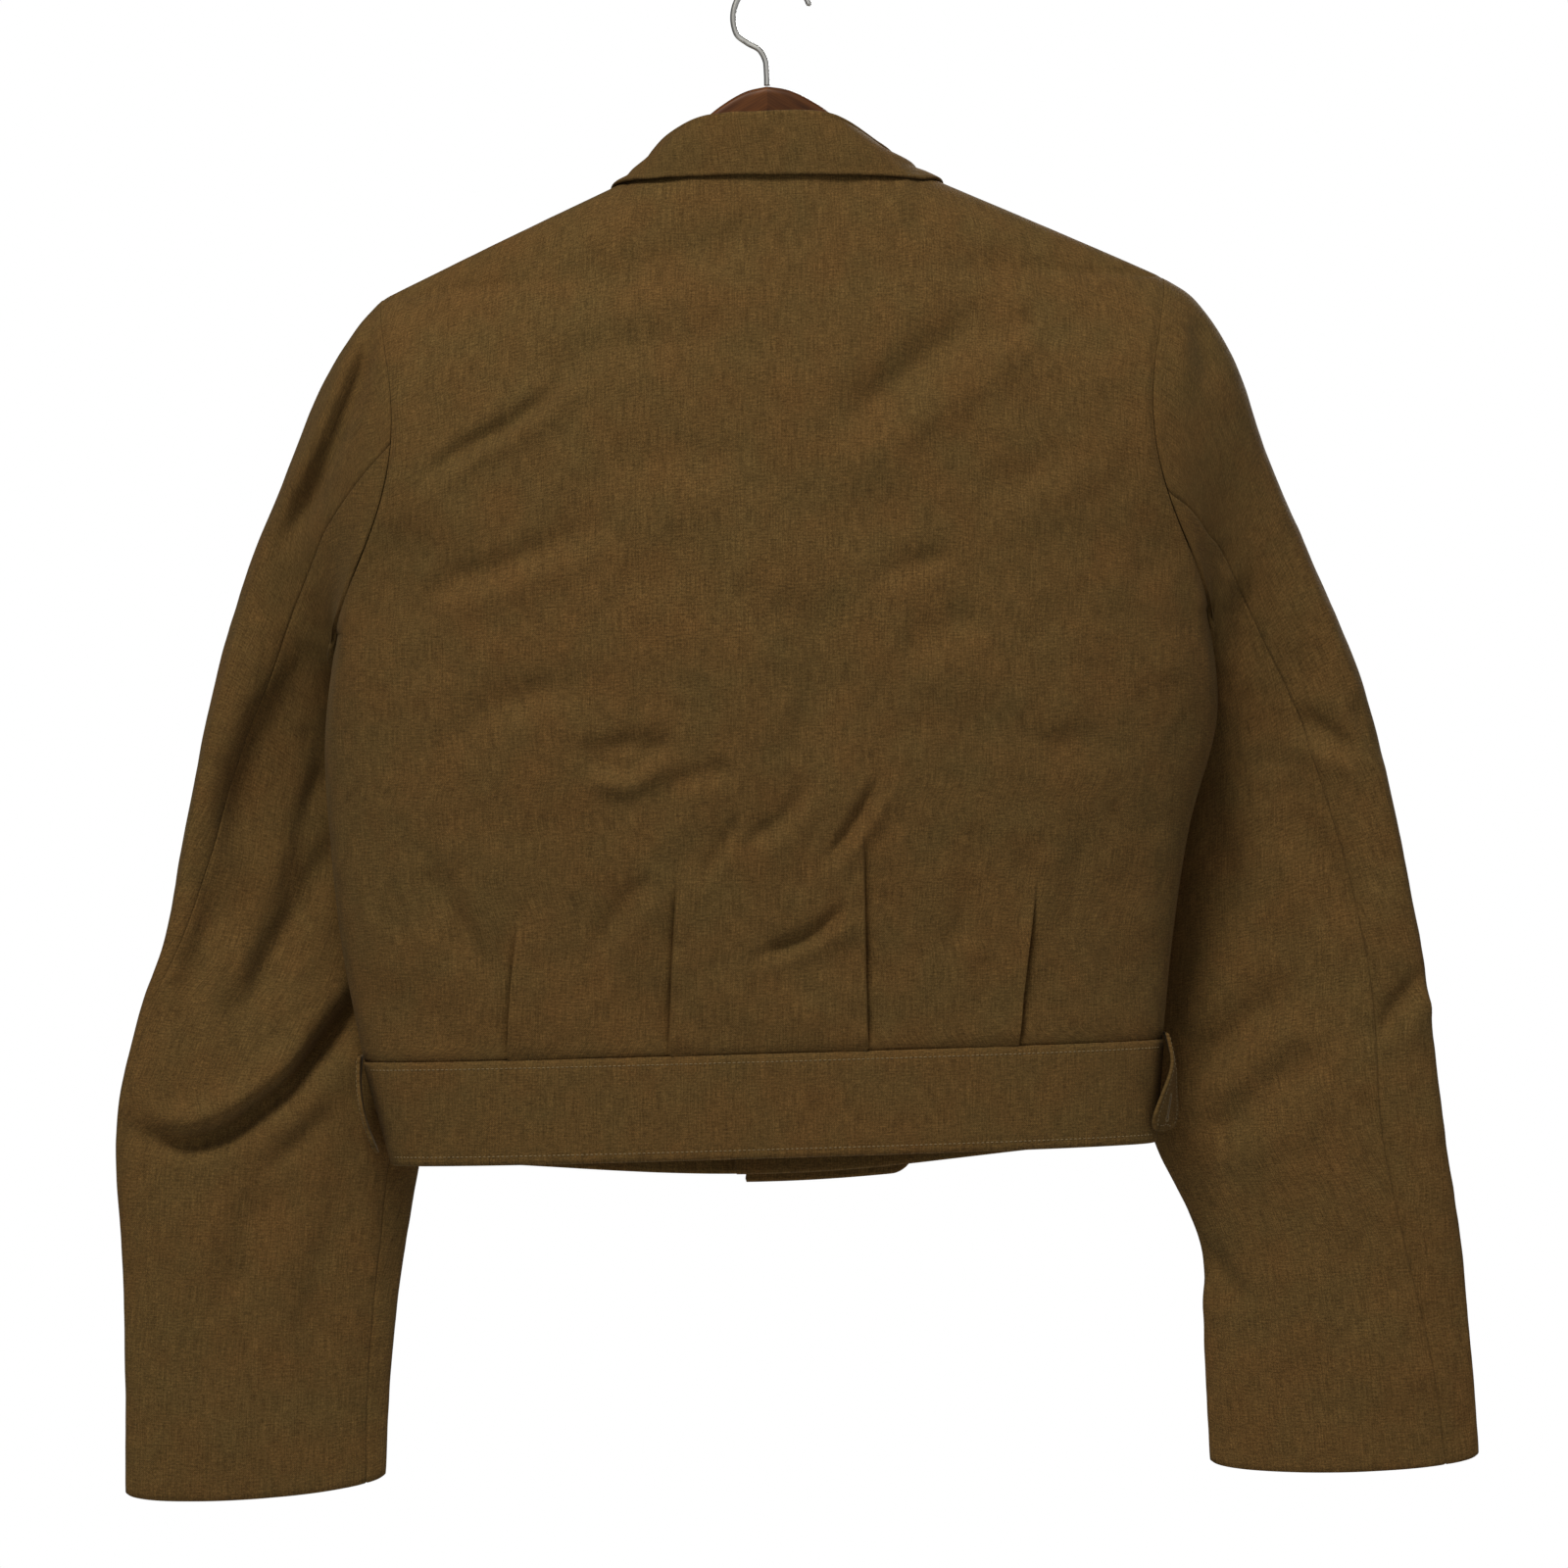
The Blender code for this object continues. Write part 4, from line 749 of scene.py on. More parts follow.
def backGrid():
    # columns crowd to both sides of each tuck's fold
    rows = panelRows(backCloth["rows"], backCloth["topCrowd"])
    stops = [-np.ones_like(rows)]
    for i, footX in enumerate(tucks["lines"]["footX"]):
        line, fold = tuckAcross(i, rows), tucks["fold"] / halfWidth(rows, math.copysign(1, footX))
        stops += [line - fold / 2, line + fold / 2]
    stops.append(np.ones_like(rows))
    gaps = zip(stops[::2], stops[1::2], backCloth["gaps"])
    across = np.concatenate([start[:, None] + (end - start)[:, None] * graded(count, backCloth["crowd"])
                             for start, end, count in gaps], axis=1)
    return np.broadcast_to(rows[:, None], across.shape), across


def backSurface(station, across):
    return bodySurface(behind, station, across)


def makeBack():
    station, across = backGrid()
    points, facing = backSurface(station, across), panelNormals(behind, station, across, backSurface)
    x, z = points[..., 0], points[..., 2]
    relief = clothWaves(x, z, backCloth["seed"], backCloth["wave"]) + foldRelief(x, z, backCloth["folds"])
    relief = relief * seamFade(station, across, backCloth["topFade"]) + tuckRelief(station, across)
    points = points + facing * relief[..., None] - np.array([0, cut["seamGap"] / 2, 0])
    return sew("backPanel", "back", points, facing, cut["cloth"], ("seam",) * 4, backCloth["sheet"])


makeBack()
print("back made")


# Fronts, seen only from the other side: plain, with drape folds of their own
frontCloth = {
    "rows": (60, 62), "columns": 72, "crowd": 0.6, "wave": 0.0010, "topFade": 0.15,
    "lapFrom": 0.05, "lapOver": 0.2, "lapFade": 0.04,
    "left": {"seed": 11, "folds": [
        (11.0, 3.0, 0.6, [(-70, -210), (-110, -235), (-160, -282)]),
        (10.0, 2.4, 0.6, [(-215, -300), (-180, -270), (-150, -258)]),
        (12.0, 3.2, 0.5, [(-60, -600), (-66, -540), (-58, -470)]),
        (9.0, 2.6, 0.6, [(-130, -606), (-142, -560), (-136, -505)]),
        (13.0, 2.4, 0.5, [(-186, -590), (-196, -530), (-190, -460)]),
        (9.0, 2.0, 0.5, [(-30, -420), (-72, -446), (-110, -452)])]},
    "right": {"seed": 17, "folds": [
        (12.0, 2.8, 0.6, [(74, -205), (104, -232), (166, -270)]),
        (9.0, 2.2, 0.6, [(210, -310), (184, -282), (140, -262)]),
        (11.0, 3.0, 0.5, [(76, -594), (70, -545), (78, -482)]),
        (10.0, 2.4, 0.6, [(150, -596), (146, -552), (156, -500)]),
        (12.0, 2.2, 0.5, [(190, -570), (200, -520), (192, -450)]),
        (8.0, 2.2, 0.5, [(36, -440), (70, -428), (116, -436)])]},
    "sheet": {"flat": (0.34, 0.55), "area": 0.135, "held": "hung", "on": ["hanger_arms"]},
}


def rollLine(z):
    # how far from the middle the lapel's roll line lies at a height, and below its break the front edge
    past = np.clip((z - cut["neckZ"]) / (cut["breakZ"] - cut["neckZ"]), 0, 1)
    return cut["neckX"] - (cut["neckX"] + cut["edgeOver"]) * past


def underlap(x):
    # how far the right front is set in behind the left where they lap
    return cut["underlap"] * ease(1 - (x - cut["edgeOver"]) / cut["underlapFade"])


def frontSurface(side):
    def surface(station, across):
        points = bodySurface(before, station, across)
        if side == right:
            lap = underlap(points[..., 0]) * ease((station - frontCloth["lapFrom"]) / frontCloth["lapOver"])
            points = points - lap[..., None] * np.array([0, 1.0, 0])
        return points
    return surface


def frontRelief(side, points, station, across):
    look = frontCloth[sideWord[side]]
    x, z = points[..., 0], points[..., 2]
    lap = ease((side * x - cut["edgeOver"]) / frontCloth["lapFade"])
    relief = foldRelief(x, z, look["folds"]) + clothWaves(x, z, look["seed"], frontCloth["wave"])
    return relief * seamFade(station, across, frontCloth["topFade"]) * lap


def frontAt(side, x, z):
    # the front's cloth at x and z, found by halving the range of stations
    x, z = np.broadcast_arrays(np.asarray(x, float), np.asarray(z, float))
    low, high = np.zeros_like(x), np.full_like(x, 2.0)
    surface = frontSurface(side)
    for _ in range(30):
        middle = (low + high) / 2
        above = surface(middle, x / halfWidth(middle, side))[..., 2] > z
        low, high = np.where(above, middle, low), np.where(above, high, middle)
    across = x / halfWidth(low, side)
    points, facing = surface(low, across), normalsOf(surface, low, across)
    facing = facing * np.sign(facing[..., 1:2])
    return points + facing * frontRelief(side, points, low, across)[..., None], facing


def makeFronts():
    rows = panelRows(frontCloth["rows"])
    station = np.repeat(rows[:, None], frontCloth["columns"] + 1, axis=1)
    for side, word in sideWord.items():
        innerEdge = side * rollLine(reading(centreLine, "frontZ", station)) / halfWidth(station, side)
        across = side + (innerEdge - side) * graded(frontCloth["columns"], frontCloth["crowd"])
        surface = frontSurface(side)
        points, facing = surface(station, across), panelNormals(before, station, across, surface)
        points = points + facing * frontRelief(side, points, station, across)[..., None]
        points = points + np.array([0, cut["seamGap"] / 2, 0])
        sew(word + "Front", "front_" + word, points, facing, cut["cloth"],
            ("seam", "free", "seam", "seam"), frontCloth["sheet"])


makeFronts()
print("fronts made")


# Sleeves: sections from the armhole to the cuff, with the outer and inner edge, the half depths behind and before
# the line between them, the way the section faces, the armhole's inset and the two seams, in degrees
sectionNames = "outX outY outZ inX inY inZ back front facing inset hind fore"
armhole = (cut["shoulderX"], 0.0, cut["shoulderZ"], cut["underarmX"], cut["underarmY"], cut["underarmZ"],
           cut["armholeBack"], cut["armholeFront"], 0, cut["armholeInset"])
sleeveCloth = {
    "rows": 220, "columns": 72, "crowd": 0.35, "cuffSag": 0.008, "seamTrim": 0.03,
    "underarmIn": 0.0032, "underarmFrom": 0.6, "underarmOver": 0.35, "underarmRows": 0.8,
    "crowdRows": 2.4, "crowdOver": 1.2, "crowdFrom": 0.3, "crowdTurn": 0.4,
    "wave": 0.0019, "waveSlant": 0.6, "waveAside": 0.3,
    "hindGain": 1.6, "foreGain": 1.4, "capGain": 2.4, "foldFrom": 0.1, "foldOver": 0.9,
    "waveFrom": 0.4, "waveOver": 2.2, "cuffKeep": 0.35, "cuffOver": 0.6, "seamRows": 0.4,
    "left": {"seed": 23, "sections": tableOf(sectionNames, [
        (*armhole, 84, 252),
        (0.2380, 0.000, -0.1930, 0.2530, 0.008, -0.3726, 0.052, 0.052, 3, 0.012, 86, 242),
        (0.2580, 0.000, -0.2255, 0.2540, 0.017, -0.3806, 0.043, 0.053, 8, 0.005, 84, 231),
        (0.2745, 0.000, -0.2690, 0.2530, 0.030, -0.3926, 0.033, 0.052, 15, 0.000, 76, 223),
        (0.2965, 0.002, -0.3283, 0.2470, 0.048, -0.4229, 0.020, 0.050, 25, 0.000, 65, 213),
        (0.3152, 0.004, -0.3958, 0.2330, 0.064, -0.4633, 0.013, 0.046, 33, 0.000, 53, 201),
        (0.3318, 0.006, -0.4683, 0.2180, 0.073, -0.5137, 0.012, 0.042, 31, 0.000, 40, 188),
        (0.3455, 0.009, -0.5330, 0.2080, 0.073, -0.5660, 0.015, 0.038, 26, 0.000, 25, 171),
        (0.3625, 0.012, -0.5815, 0.2030, 0.067, -0.6060, 0.022, 0.036, 20, 0.000, 15, 156),
        (0.3760, 0.015, -0.6440, 0.2025, 0.059, -0.6590, 0.023, 0.032, 15, 0.000, 11, 141),
        (0.3735, 0.018, -0.7090, 0.2118, 0.053, -0.7160, 0.020, 0.026, 12, 0.000, 2, 143),
        (0.3715, 0.020, -0.7790, 0.2198, 0.049, -0.7817, 0.017, 0.021, 10, 0.000, -5, 145),
        (0.3715, 0.022, -0.8545, 0.2230, 0.047, -0.8500, 0.014, 0.017, 9, 0.000, -8, 147)]),
        "capFolds": [(7.0, 9.0, 1.3, [(-200, -172), (-223, -205), (-236, -236), (-254, -279), (-289, -342)])],
        "folds": [
            (7.0, 14.0, 0.6, [(-222, -560), (-241, -590), (-262, -618), (-287, -641), (-315, -659), (-340, -665),
                              (-361, -659), (-384, -654)]),
            (14.0, 9.0, 0.2, [(-212, -556), (-232, -584), (-256, -604), (-286, -618)]),
            (30.0, 9.0, 0.0, [(-258, -390), (-280, -450), (-290, -530), (-272, -600)]),
            (11.0, 7.0, 0.5, [(-262, -370), (-275, -400), (-291, -431), (-305, -480), (-309, -520)]),
            (9.0, 6.5, 0.6, [(-240, -470), (-266, -521), (-283, -554), (-303, -587), (-322, -602)]),
            (7.0, 4.0, 0.6, [(-250, -430), (-262, -470), (-274, -510), (-286, -536)]),
            (8.0, 4.0, 0.5, [(-318, -500), (-322, -540), (-336, -576), (-346, -600)]),
            (12.0, 4.4, 0.5, [(-289, -676), (-300, -720), (-312, -768)]),
            (10.0, 3.4, 0.5, [(-250, -700), (-262, -750), (-258, -800)]),
            (7.0, 3.4, 0.6, [(-246, -640), (-268, -662), (-296, -684)])],
        "frontFolds": [
            (9.0, 8.5, 0.6, [(-372, -640), (-330, -652), (-280, -640), (-236, -606)]),
            (11.0, 5.4, 0.5, [(-340, -560), (-300, -585), (-246, -572)]),
            (12.0, 4.4, 0.5, [(-262, -420), (-282, -470), (-288, -520)]),
            (10.0, 4.0, 0.5, [(-330, -690), (-322, -740), (-330, -790)])]},
    "right": {"seed": 29, "sections": tableOf(sectionNames, [
        (*armhole, 108, 252),
        (0.2430, 0.000, -0.1910, 0.2530, 0.008, -0.3754, 0.052, 0.052, 3, 0.012, 107, 247),
        (0.2650, 0.000, -0.2267, 0.2532, 0.017, -0.3854, 0.043, 0.053, 8, 0.005, 103, 242),
        (0.2825, 0.000, -0.2822, 0.2505, 0.030, -0.3994, 0.033, 0.052, 15, 0.000, 88, 237),
        (0.3098, 0.002, -0.3500, 0.2460, 0.047, -0.4322, 0.023, 0.050, 25, 0.000, 74, 231),
        (0.3352, 0.004, -0.4148, 0.2390, 0.061, -0.4750, 0.018, 0.046, 31, 0.000, 62, 225),
        (0.3548, 0.006, -0.4883, 0.2270, 0.069, -0.5265, 0.018, 0.042, 29, 0.000, 53, 220),
        (0.3690, 0.009, -0.5537, 0.2180, 0.069, -0.5783, 0.020, 0.038, 24, 0.000, 48, 216),
        (0.3770, 0.012, -0.6030, 0.2125, 0.064, -0.6180, 0.022, 0.036, 18, 0.000, 48, 213),
        (0.3845, 0.015, -0.6660, 0.2195, 0.057, -0.6683, 0.023, 0.032, 14, 0.000, 52, 211),
        (0.3945, 0.018, -0.7314, 0.2470, 0.051, -0.7310, 0.020, 0.026, 12, 0.000, 53, 209),
        (0.4018, 0.020, -0.8016, 0.2495, 0.047, -0.7950, 0.017, 0.021, 10, 0.000, 44, 207),
        (0.4057, 0.022, -0.8545, 0.2525, 0.045, -0.8555, 0.014, 0.017, 9, 0.000, 40, 205)]),
        "capFolds": [(7.0, 4.8, 0.6, [(238, -186), (243, -208), (249, -238)])],
        "folds": [
            (12.0, 9.0, 0.5, [(226, -634), (258, -608), (283, -587), (312, -572)]),
            (12.0, 6.0, 0.5, [(238, -676), (289, -628), (322, -600)]),
            (7.0, 5.4, 0.6, [(346, -612), (357, -587), (368, -573), (376, -564)]),
            (8.0, 5.4, 0.6, [(248, -724), (260, -744), (274, -762)]),
            (5.0, 3.0, 0.5, [(332, -630), (342, -650), (352, -668)]),
            (7.0, 5.0, 0.6, [(296, -416), (320, -432), (346, -446)]),
            (6.0, 3.4, 0.6, [(330, -404), (340, -428), (352, -452)]),
            (11.0, 4.6, 0.5, [(300, -470), (318, -510), (326, -552)]),
            (12.0, 3.8, 0.5, [(320, -700), (332, -750), (330, -800)]),
            (8.0, 3.6, 0.6, [(276, -330), (268, -362), (272, -398)]),
            (9.0, 4.0, 0.4, [(250, -470), (262, -510), (258, -552)])],
        "frontFolds": [
            (9.0, 7.8, 0.6, [(236, -618), (280, -650), (332, -660), (380, -646)]),
            (11.0, 5.0, 0.5, [(250, -560), (300, -588), (352, -574)]),
            (12.0, 4.4, 0.5, [(272, -430), (290, -480), (300, -530)]),
            (10.0, 3.8, 0.5, [(350, -700), (340, -750), (352, -800)])]},
    "topSheet": {"flat": (0.30, 0.70), "area": 0.120, "held": "hung", "on": ["back"]},
    "underSheet": {"flat": (0.24, 0.62), "area": 0.090, "held": "hung", "on": ["back"]},
}


def sleeveSurface(side):
    # sections are half ellipses behind and before the line from the outer to the inner edge; turn 0 is the outer
    # edge and goes round by way of the back
    cloth, look = sleeveCloth, sleeveCloth[sideWord[side]]
    section = look["sections"]
    index = np.arange(len(section["outX"]), dtype=float)
    last = index[-1]

    def plain(row, turn):
        at = {name: throughPoints(row, index, column) for name, column in section.items()}
        cos, sin = np.cos(turn), np.sin(turn)
        depth = np.where(sin > 0, at["back"], at["front"]) * sin
        facing = np.radians(at["facing"])
        x, y, z = (between(at["out" + axis], at["in" + axis], turn) for axis in "XYZ")
        x = x - at["inset"] * np.abs(sin) ** 3 - depth * np.sin(facing)
        inward = ease((-cos - cloth["underarmFrom"]) / cloth["underarmOver"])
        x = x - cloth["underarmIn"] * inward * ease(1 - row / cloth["underarmRows"])
        z = z - cloth["cuffSag"] * np.clip(sin, 0, 1) * ease((row - last + 2) / 2)
        return tilted(side * (x + cut["seamGap"]), y - depth * np.cos(facing), z)

    def folded(row, turn):
        points = plain(row, turn)
        facing = normalsOf(plain, np.clip(row, 1e-3, last - 1e-3), turn) * -side
        # the rows crowd together at the underarm, so there the cloth faces away from the sleeve's middle
        outward = unitOf(points - (plain(row, 0 * turn) + plain(row, 0 * turn + math.pi)) / 2)
        crowded = ease((-np.cos(turn) - cloth["crowdFrom"]) / cloth["crowdTurn"])
        crowded = (ease((cloth["crowdRows"] - row) / cloth["crowdOver"]) * crowded)[..., None]
        facing = unitOf(facing * (1 - crowded) + outward * crowded)
        x, z, hindward = points[..., 0], points[..., 2], -facing[..., 1]
        hind, fore, cap = (foldRelief(x, z, look[name]) * np.clip(gain * hindward, 0, 1) for name, gain in (
            ("folds", cloth["hindGain"]), ("frontFolds", -cloth["foreGain"]), ("capFolds", cloth["capGain"])))
        waves = clothWaves(x + cloth["waveSlant"] * points[..., 1], z, look["seed"], cloth["wave"])
        waves = waves * (cloth["waveAside"] + (1 - cloth["waveAside"]) * hindward ** 2)
        begun = ease((row - cloth["foldFrom"]) / cloth["foldOver"])
        folds = (hind + fore) * begun + waves * ease((row - cloth["waveFrom"]) / cloth["waveOver"])
        kept = cloth["cuffKeep"] + (1 - cloth["cuffKeep"]) * ease((last - row) / cloth["cuffOver"])
        # below the shoulder the sleeve's edge stands out straight behind
        points = points + facing * (folds * kept)[..., None] - (cap * begun)[..., None] * np.array([0, 1.0, 0])
        share = ease(1 - row / cloth["seamRows"])[..., None]
        return points, unitOf(facing * (1 - share) + armholeNormal(0, turn) * share)

    def seam(row, name):
        return np.radians(throughPoints(row, index, section[name]))

    return folded, seam, last


def makeSleeves():
    trim = cut["seamGap"] / 4 / sleeveCloth["seamTrim"]
    for side, word in sideWord.items():
        folded, seam, last = sleeveSurface(side)
        row = last * np.linspace(0, 1, sleeveCloth["rows"] + 1)[:, None]
        for half, start, end in (("top", seam(row, "fore") - 2 * math.pi + trim, seam(row, "hind") - trim),
                                 ("under", seam(row, "hind") + trim, seam(row, "fore") - trim)):
            turn = start + (end - start) * graded(sleeveCloth["columns"], sleeveCloth["crowd"])
            points, facing = folded(np.broadcast_to(row, turn.shape), turn)
            sew(f"{word}Sleeve{half.title()}", f"sleeve_{word}_{half}", points, facing, cut["cloth"],
                ("seam", "fine", "free", "fine"), sleeveCloth[half + "Sheet"])


makeSleeves()
print("sleeves made")


# Waistband, with its rows of stitches let into the cloth
band = {
    "rows": 26, "columns": 220, "frontColumns": 120, "crowd": 0.7, "seed": 41, "wave": 0.0005, "flatter": 0.6,
    "endFade": 0.03, "endTurn": 0.01, "stitchEnd": 0.985, "stitchSteps": 160,
    "stitchIn": 0.0042, "stitchDeep": 0.0004, "stitchWide": 0.0011,
    "backSheet": {"flat": (0.54, 0.062), "held": "hung", "on": ["back"]},
    "frontSheet": {"flat": (0.31, 0.062), "held": "hung", "on": ["front_left", "front_right"]},
}


def bandSurface(face, side=left):
    # down is 0 at the waist seam and 1 at the hem; the band's ends draw in towards the hem
    def surface(down, across):
        down, across = np.broadcast_arrays(np.asarray(down, float), np.clip(across, -1, 1))
        points = bodySurface(face, 2.0, across)
        draw = np.where(across < 0, cut["bandLeft"], cut["bandRight"]) * down * np.abs(across)
        reach = np.sqrt(np.clip(1 - np.abs(across) ** cut["flatness"], 0, 1))
        x = points[..., 0] + np.sign(across) * (cut["bandOut"] * np.abs(across) - draw)
        y = points[..., 1] + face * reach * (cut["bandOut"] - cut["bandTaper"] * down)
        if face == before and side == right:
            y = y - underlap(x)
        return np.stack([x, y, points[..., 2] - cut["seamGap"] - cut["bandHeight"] * down], -1)
    return surface


def bandFacing(surface, face, down, across):
    # taken a little inside the band's edges
    facing = normalsOf(surface, down * 0.98 + 0.01, np.clip(across, -1 + 2e-4, 1 - 2e-4))
    facing = facing * np.sign(facing[..., 1:2] * face)
    share = ease(1 - (1 - np.abs(across)) / band["endTurn"])[..., None]
    ends = np.stack([np.sign(across), 0 * across, 0 * across], -1)
    facing = facing * (1 - share) + ends * share
    facing[..., 2] = 0
    return unitOf(facing)


def bandCloth(face, side, down, across):
    # the band's points and normals, with a narrow trough along each row of stitches, and slow waves
    surface = bandSurface(face, side)
    points, facing = surface(down, across), bandFacing(surface, face, down, across)
    trough = sum(np.exp(-((down - at) * cut["bandHeight"] / band["stitchWide"]) ** 2) for at in stitchDowns)
    waves = clothWaves(points[..., 0], points[..., 2] * band["flatter"], band["seed"] + face, band["wave"])
    relief = (waves - band["stitchDeep"] * trough) * ease((1 - np.abs(across)) / band["endFade"])
    return points + facing * relief[..., None] + np.array([0, face * cut["seamGap"] / 2, 0]), facing


def makeBand(name, node, face, side, start, end, count, edges, sheet):
    across = np.broadcast_to(start + (end - start) * graded(count, band["crowd"]), (band["rows"] + 1, count + 1))
    down = np.broadcast_to(np.linspace(0, 1, band["rows"] + 1)[:, None], across.shape)
    points, facing = bandCloth(face, side, down, across)
    return sew(name, node, points, facing, cut["bandCloth"], edges, sheet)


stitchDowns = (band["stitchIn"] / cut["bandHeight"], 1 - band["stitchIn"] / cut["bandHeight"])
lapOver = cut["edgeOver"] / halfWidth(2.0, left)
makeBand("backBand", "waistband_back", behind, left, -1.0, 1.0, band["columns"],
         ("seam", "seam", "free", "seam"), band["backSheet"])
for side, word in sideWord.items():
    makeBand(word + "Band", "waistband_front_" + word, before, side, float(side), -side * lapOver,
             band["frontColumns"], ("seam", "free", "free", "seam"), band["frontSheet"])
print("waistband made")


# Collar: stand, roll and fall in one strip, from the middle of the back to the end at the lapel
collarCloth = {
    "columns": 200, "stand": 8, "roll": 12, "fall": 26, "radius": 0.0022, "lift": 0.0021, "edgeLift": 0.0003,
    "rollShift": -0.0045, "edgeShift": 0.006, "shiftFrom": 0.30, "shiftOver": 0.25, "backTo": 0.75,
    "backOver": 0.3, "seed": 53, "wave": 0.0006, "endFade": 0.1, "beside": 0.007, "besideOver": 0.004,
    "searchDown": 0.6, "searchRows": 60, "searchColumns": 141, "evened": 6,
    "stations": tableOf("at footX footY footZ rollX rollY rollZ edgeX edgeY edgeZ", [
        (0.00, 0.000, -0.0395, -0.1052, 0.000, -0.0415, -0.0810, 0.000, -0.0490, -0.1130),
        (0.18, 0.027, -0.0370, -0.1054, 0.0235, -0.0390, -0.0810, 0.041, -0.0465, -0.1120),
        (0.34, 0.054, -0.0290, -0.1066, 0.0405, -0.0320, -0.0836, 0.0705, -0.0380, -0.1105),
        (0.52, 0.0750, -0.0080, -0.1078, 0.0600, -0.0080, -0.0945, 0.0905, -0.0070, -0.1195),
        (0.68, 0.0740, 0.0140, -0.1095, 0.0705, 0.0170, -0.1060, 0.099, 0.0260, -0.1400),
        (0.84, 0.0650, 0.0320, -0.1360, 0.0650, 0.0400, -0.1320, 0.119, 0.0480, -0.1720),
        (1.00, 0.0565, 0.0400, -0.1570, 0.0570, 0.0500, -0.1540, 0.115, 0.0560, -0.2020)]),
    "sheet": {"flat": (0.46, 0.076), "area": 0.0265, "held": "folded",
              "on": ["back", "front_left", "front_right"]},
}


def clearOfBody(points, settle):
    # points moved out along the nearest body normal until they lie outside the cloth; the last row is drawn in to
    # it, and the others follow by their share
    rows = np.linspace(0, collarCloth["searchDown"], collarCloth["searchRows"])
    station, across = np.meshgrid(rows, np.linspace(-1, 1, collarCloth["searchColumns"]), indexing="ij")
    near, way = [], []
    for face, surface in ((behind, backSurface), (before, frontSurface(left))):
        near.append(surface(station, across).reshape(-1, 3))
        way.append(panelNormals(face, station, across, surface).reshape(-1, 3))
    near, way = np.concatenate(near), np.concatenate(way)
    closest = np.stack([np.argmin(((row[:, None, :] - near) ** 2).sum(-1), axis=1) for row in points])
    height = np.sum((points - near[closest]) * way[closest], axis=-1)
    beside = np.linalg.norm(points - near[closest] - way[closest] * height[..., None], axis=-1)
    push = (collarCloth["lift"] - height) * ease((collarCloth["beside"] - beside) / collarCloth["besideOver"])
    drawn = way[closest[-1:]] * np.minimum(push[-1:], 0)[..., None]
    move = way[closest] * np.maximum(push, 0)[..., None] + drawn * settle
    for _ in range(collarCloth["evened"]):  # evened out with the neighbours
        padded = np.pad(move, ((1, 1), (2, 2), (0, 0)), mode="edge")
        beside = sum(padded[1:-1, k:k + move.shape[1]] for k in range(5)) / 5
        move = 0.25 * padded[:-2, 2:-2] + 0.5 * beside + 0.25 * padded[2:, 2:-2]
    return points + move


def makeCollar():
    along = np.linspace(-1, 1, collarCloth["columns"] + 1)
    away = np.abs(along)

    def place(name):
        x, y, z = (reading(collarCloth["stations"], name + axis, away) for axis in "XYZ")
        x, atBack = np.sign(along) * x, ease((collarCloth["backTo"] - away) / collarCloth["backOver"])
        if name == "roll":
            x = x + collarCloth["rollShift"] * atBack
        if name == "edge":  # hangs level at the back
            x = x + collarCloth["edgeShift"] * ease((-along - collarCloth["shiftFrom"]) / collarCloth["shiftOver"])
            z = z - cut["tilt"] * x * atBack
        return tilted(x, y, z)

    foot, roll, edge = place("foot"), place("roll"), place("edge")
    outward = edge - foot
    outward[:, 2] = 0
    outward = unitOf(outward) * collarCloth["radius"]
    up = np.array([0, 0, collarCloth["radius"]])
    stand = np.linspace(0, 1, collarCloth["stand"])[:-1, None, None]
    arc = np.linspace(0, math.pi, collarCloth["roll"])[:, None, None]
    fall = np.linspace(0, 1, collarCloth["fall"])[1:, None, None]
    standRows = foot + (roll - outward - foot) * stand
    rollRows = roll - outward * np.cos(arc) + up * np.sin(arc)
    fallRows = clearOfBody(roll + outward + (edge - roll - outward) * fall, fall ** 2)
    fallRows = fallRows + unitOf(outward) * collarCloth["edgeLift"] * fall ** 3
    points = np.concatenate([standRows, rollRows, fallRows])
    facing = unitOf(np.cross(np.gradient(points, axis=1), np.gradient(points, axis=0)))
    facing[0, :, 2] = 0
    facing = unitOf(facing)
    waves = clothWaves(points[..., 0], points[..., 2] + points[..., 1], collarCloth["seed"], collarCloth["wave"])
    points = points + facing * (cut["cloth"] / 2 + waves * ease((1 - away) / collarCloth["endFade"]))[..., None]
    return sew("collarStrip", "collar", points, facing, cut["cloth"], ("seam", "free", "free", "free"),
               collarCloth["sheet"])


makeCollar()
print("collar made")


# What lies on the fronts: lapels, pockets and flaps
lapelCloth = {
    "shape": tableOf("down width", [(0.170, 0.054), (0.200, 0.064), (0.240, 0.060), (0.285, 0.042),
                                    (0.330, 0.012)]),
    "left": 0.332, "right": 0.318, "rows": 64, "columns": 28, "crowd": 0.4, "foldShare": 0.02,
    "notch": 0.62, "notchOver": 0.09, "level": 0.05,
    "sheet": {"flat": (0.075, 0.20), "area": 0.0085, "held": "folded", "on": ["front_left", "front_right"]},
}
pocketCloth = {
    "x": 0.126, "width": 0.104, "top": -0.272, "height": 0.136, "corner": 0.006, "cornerDown": 0.9,
    "cornerFrom": 0.42, "columns": 40, "rows": 48, "flapRows": 24, "crowd": 0.4,
    "flapTop": -0.262, "flapHeight": 0.052, "flapWidth": 0.108, "flapPoint": 0.010,
    "sheet": {"flat": (0.108, 0.140), "held": "laid", "on": ["front_left", "front_right"]},
    "flapSheet": {"flat": (0.112, 0.062), "held": "laid", "on": ["pocket_left", "pocket_right"]},
}


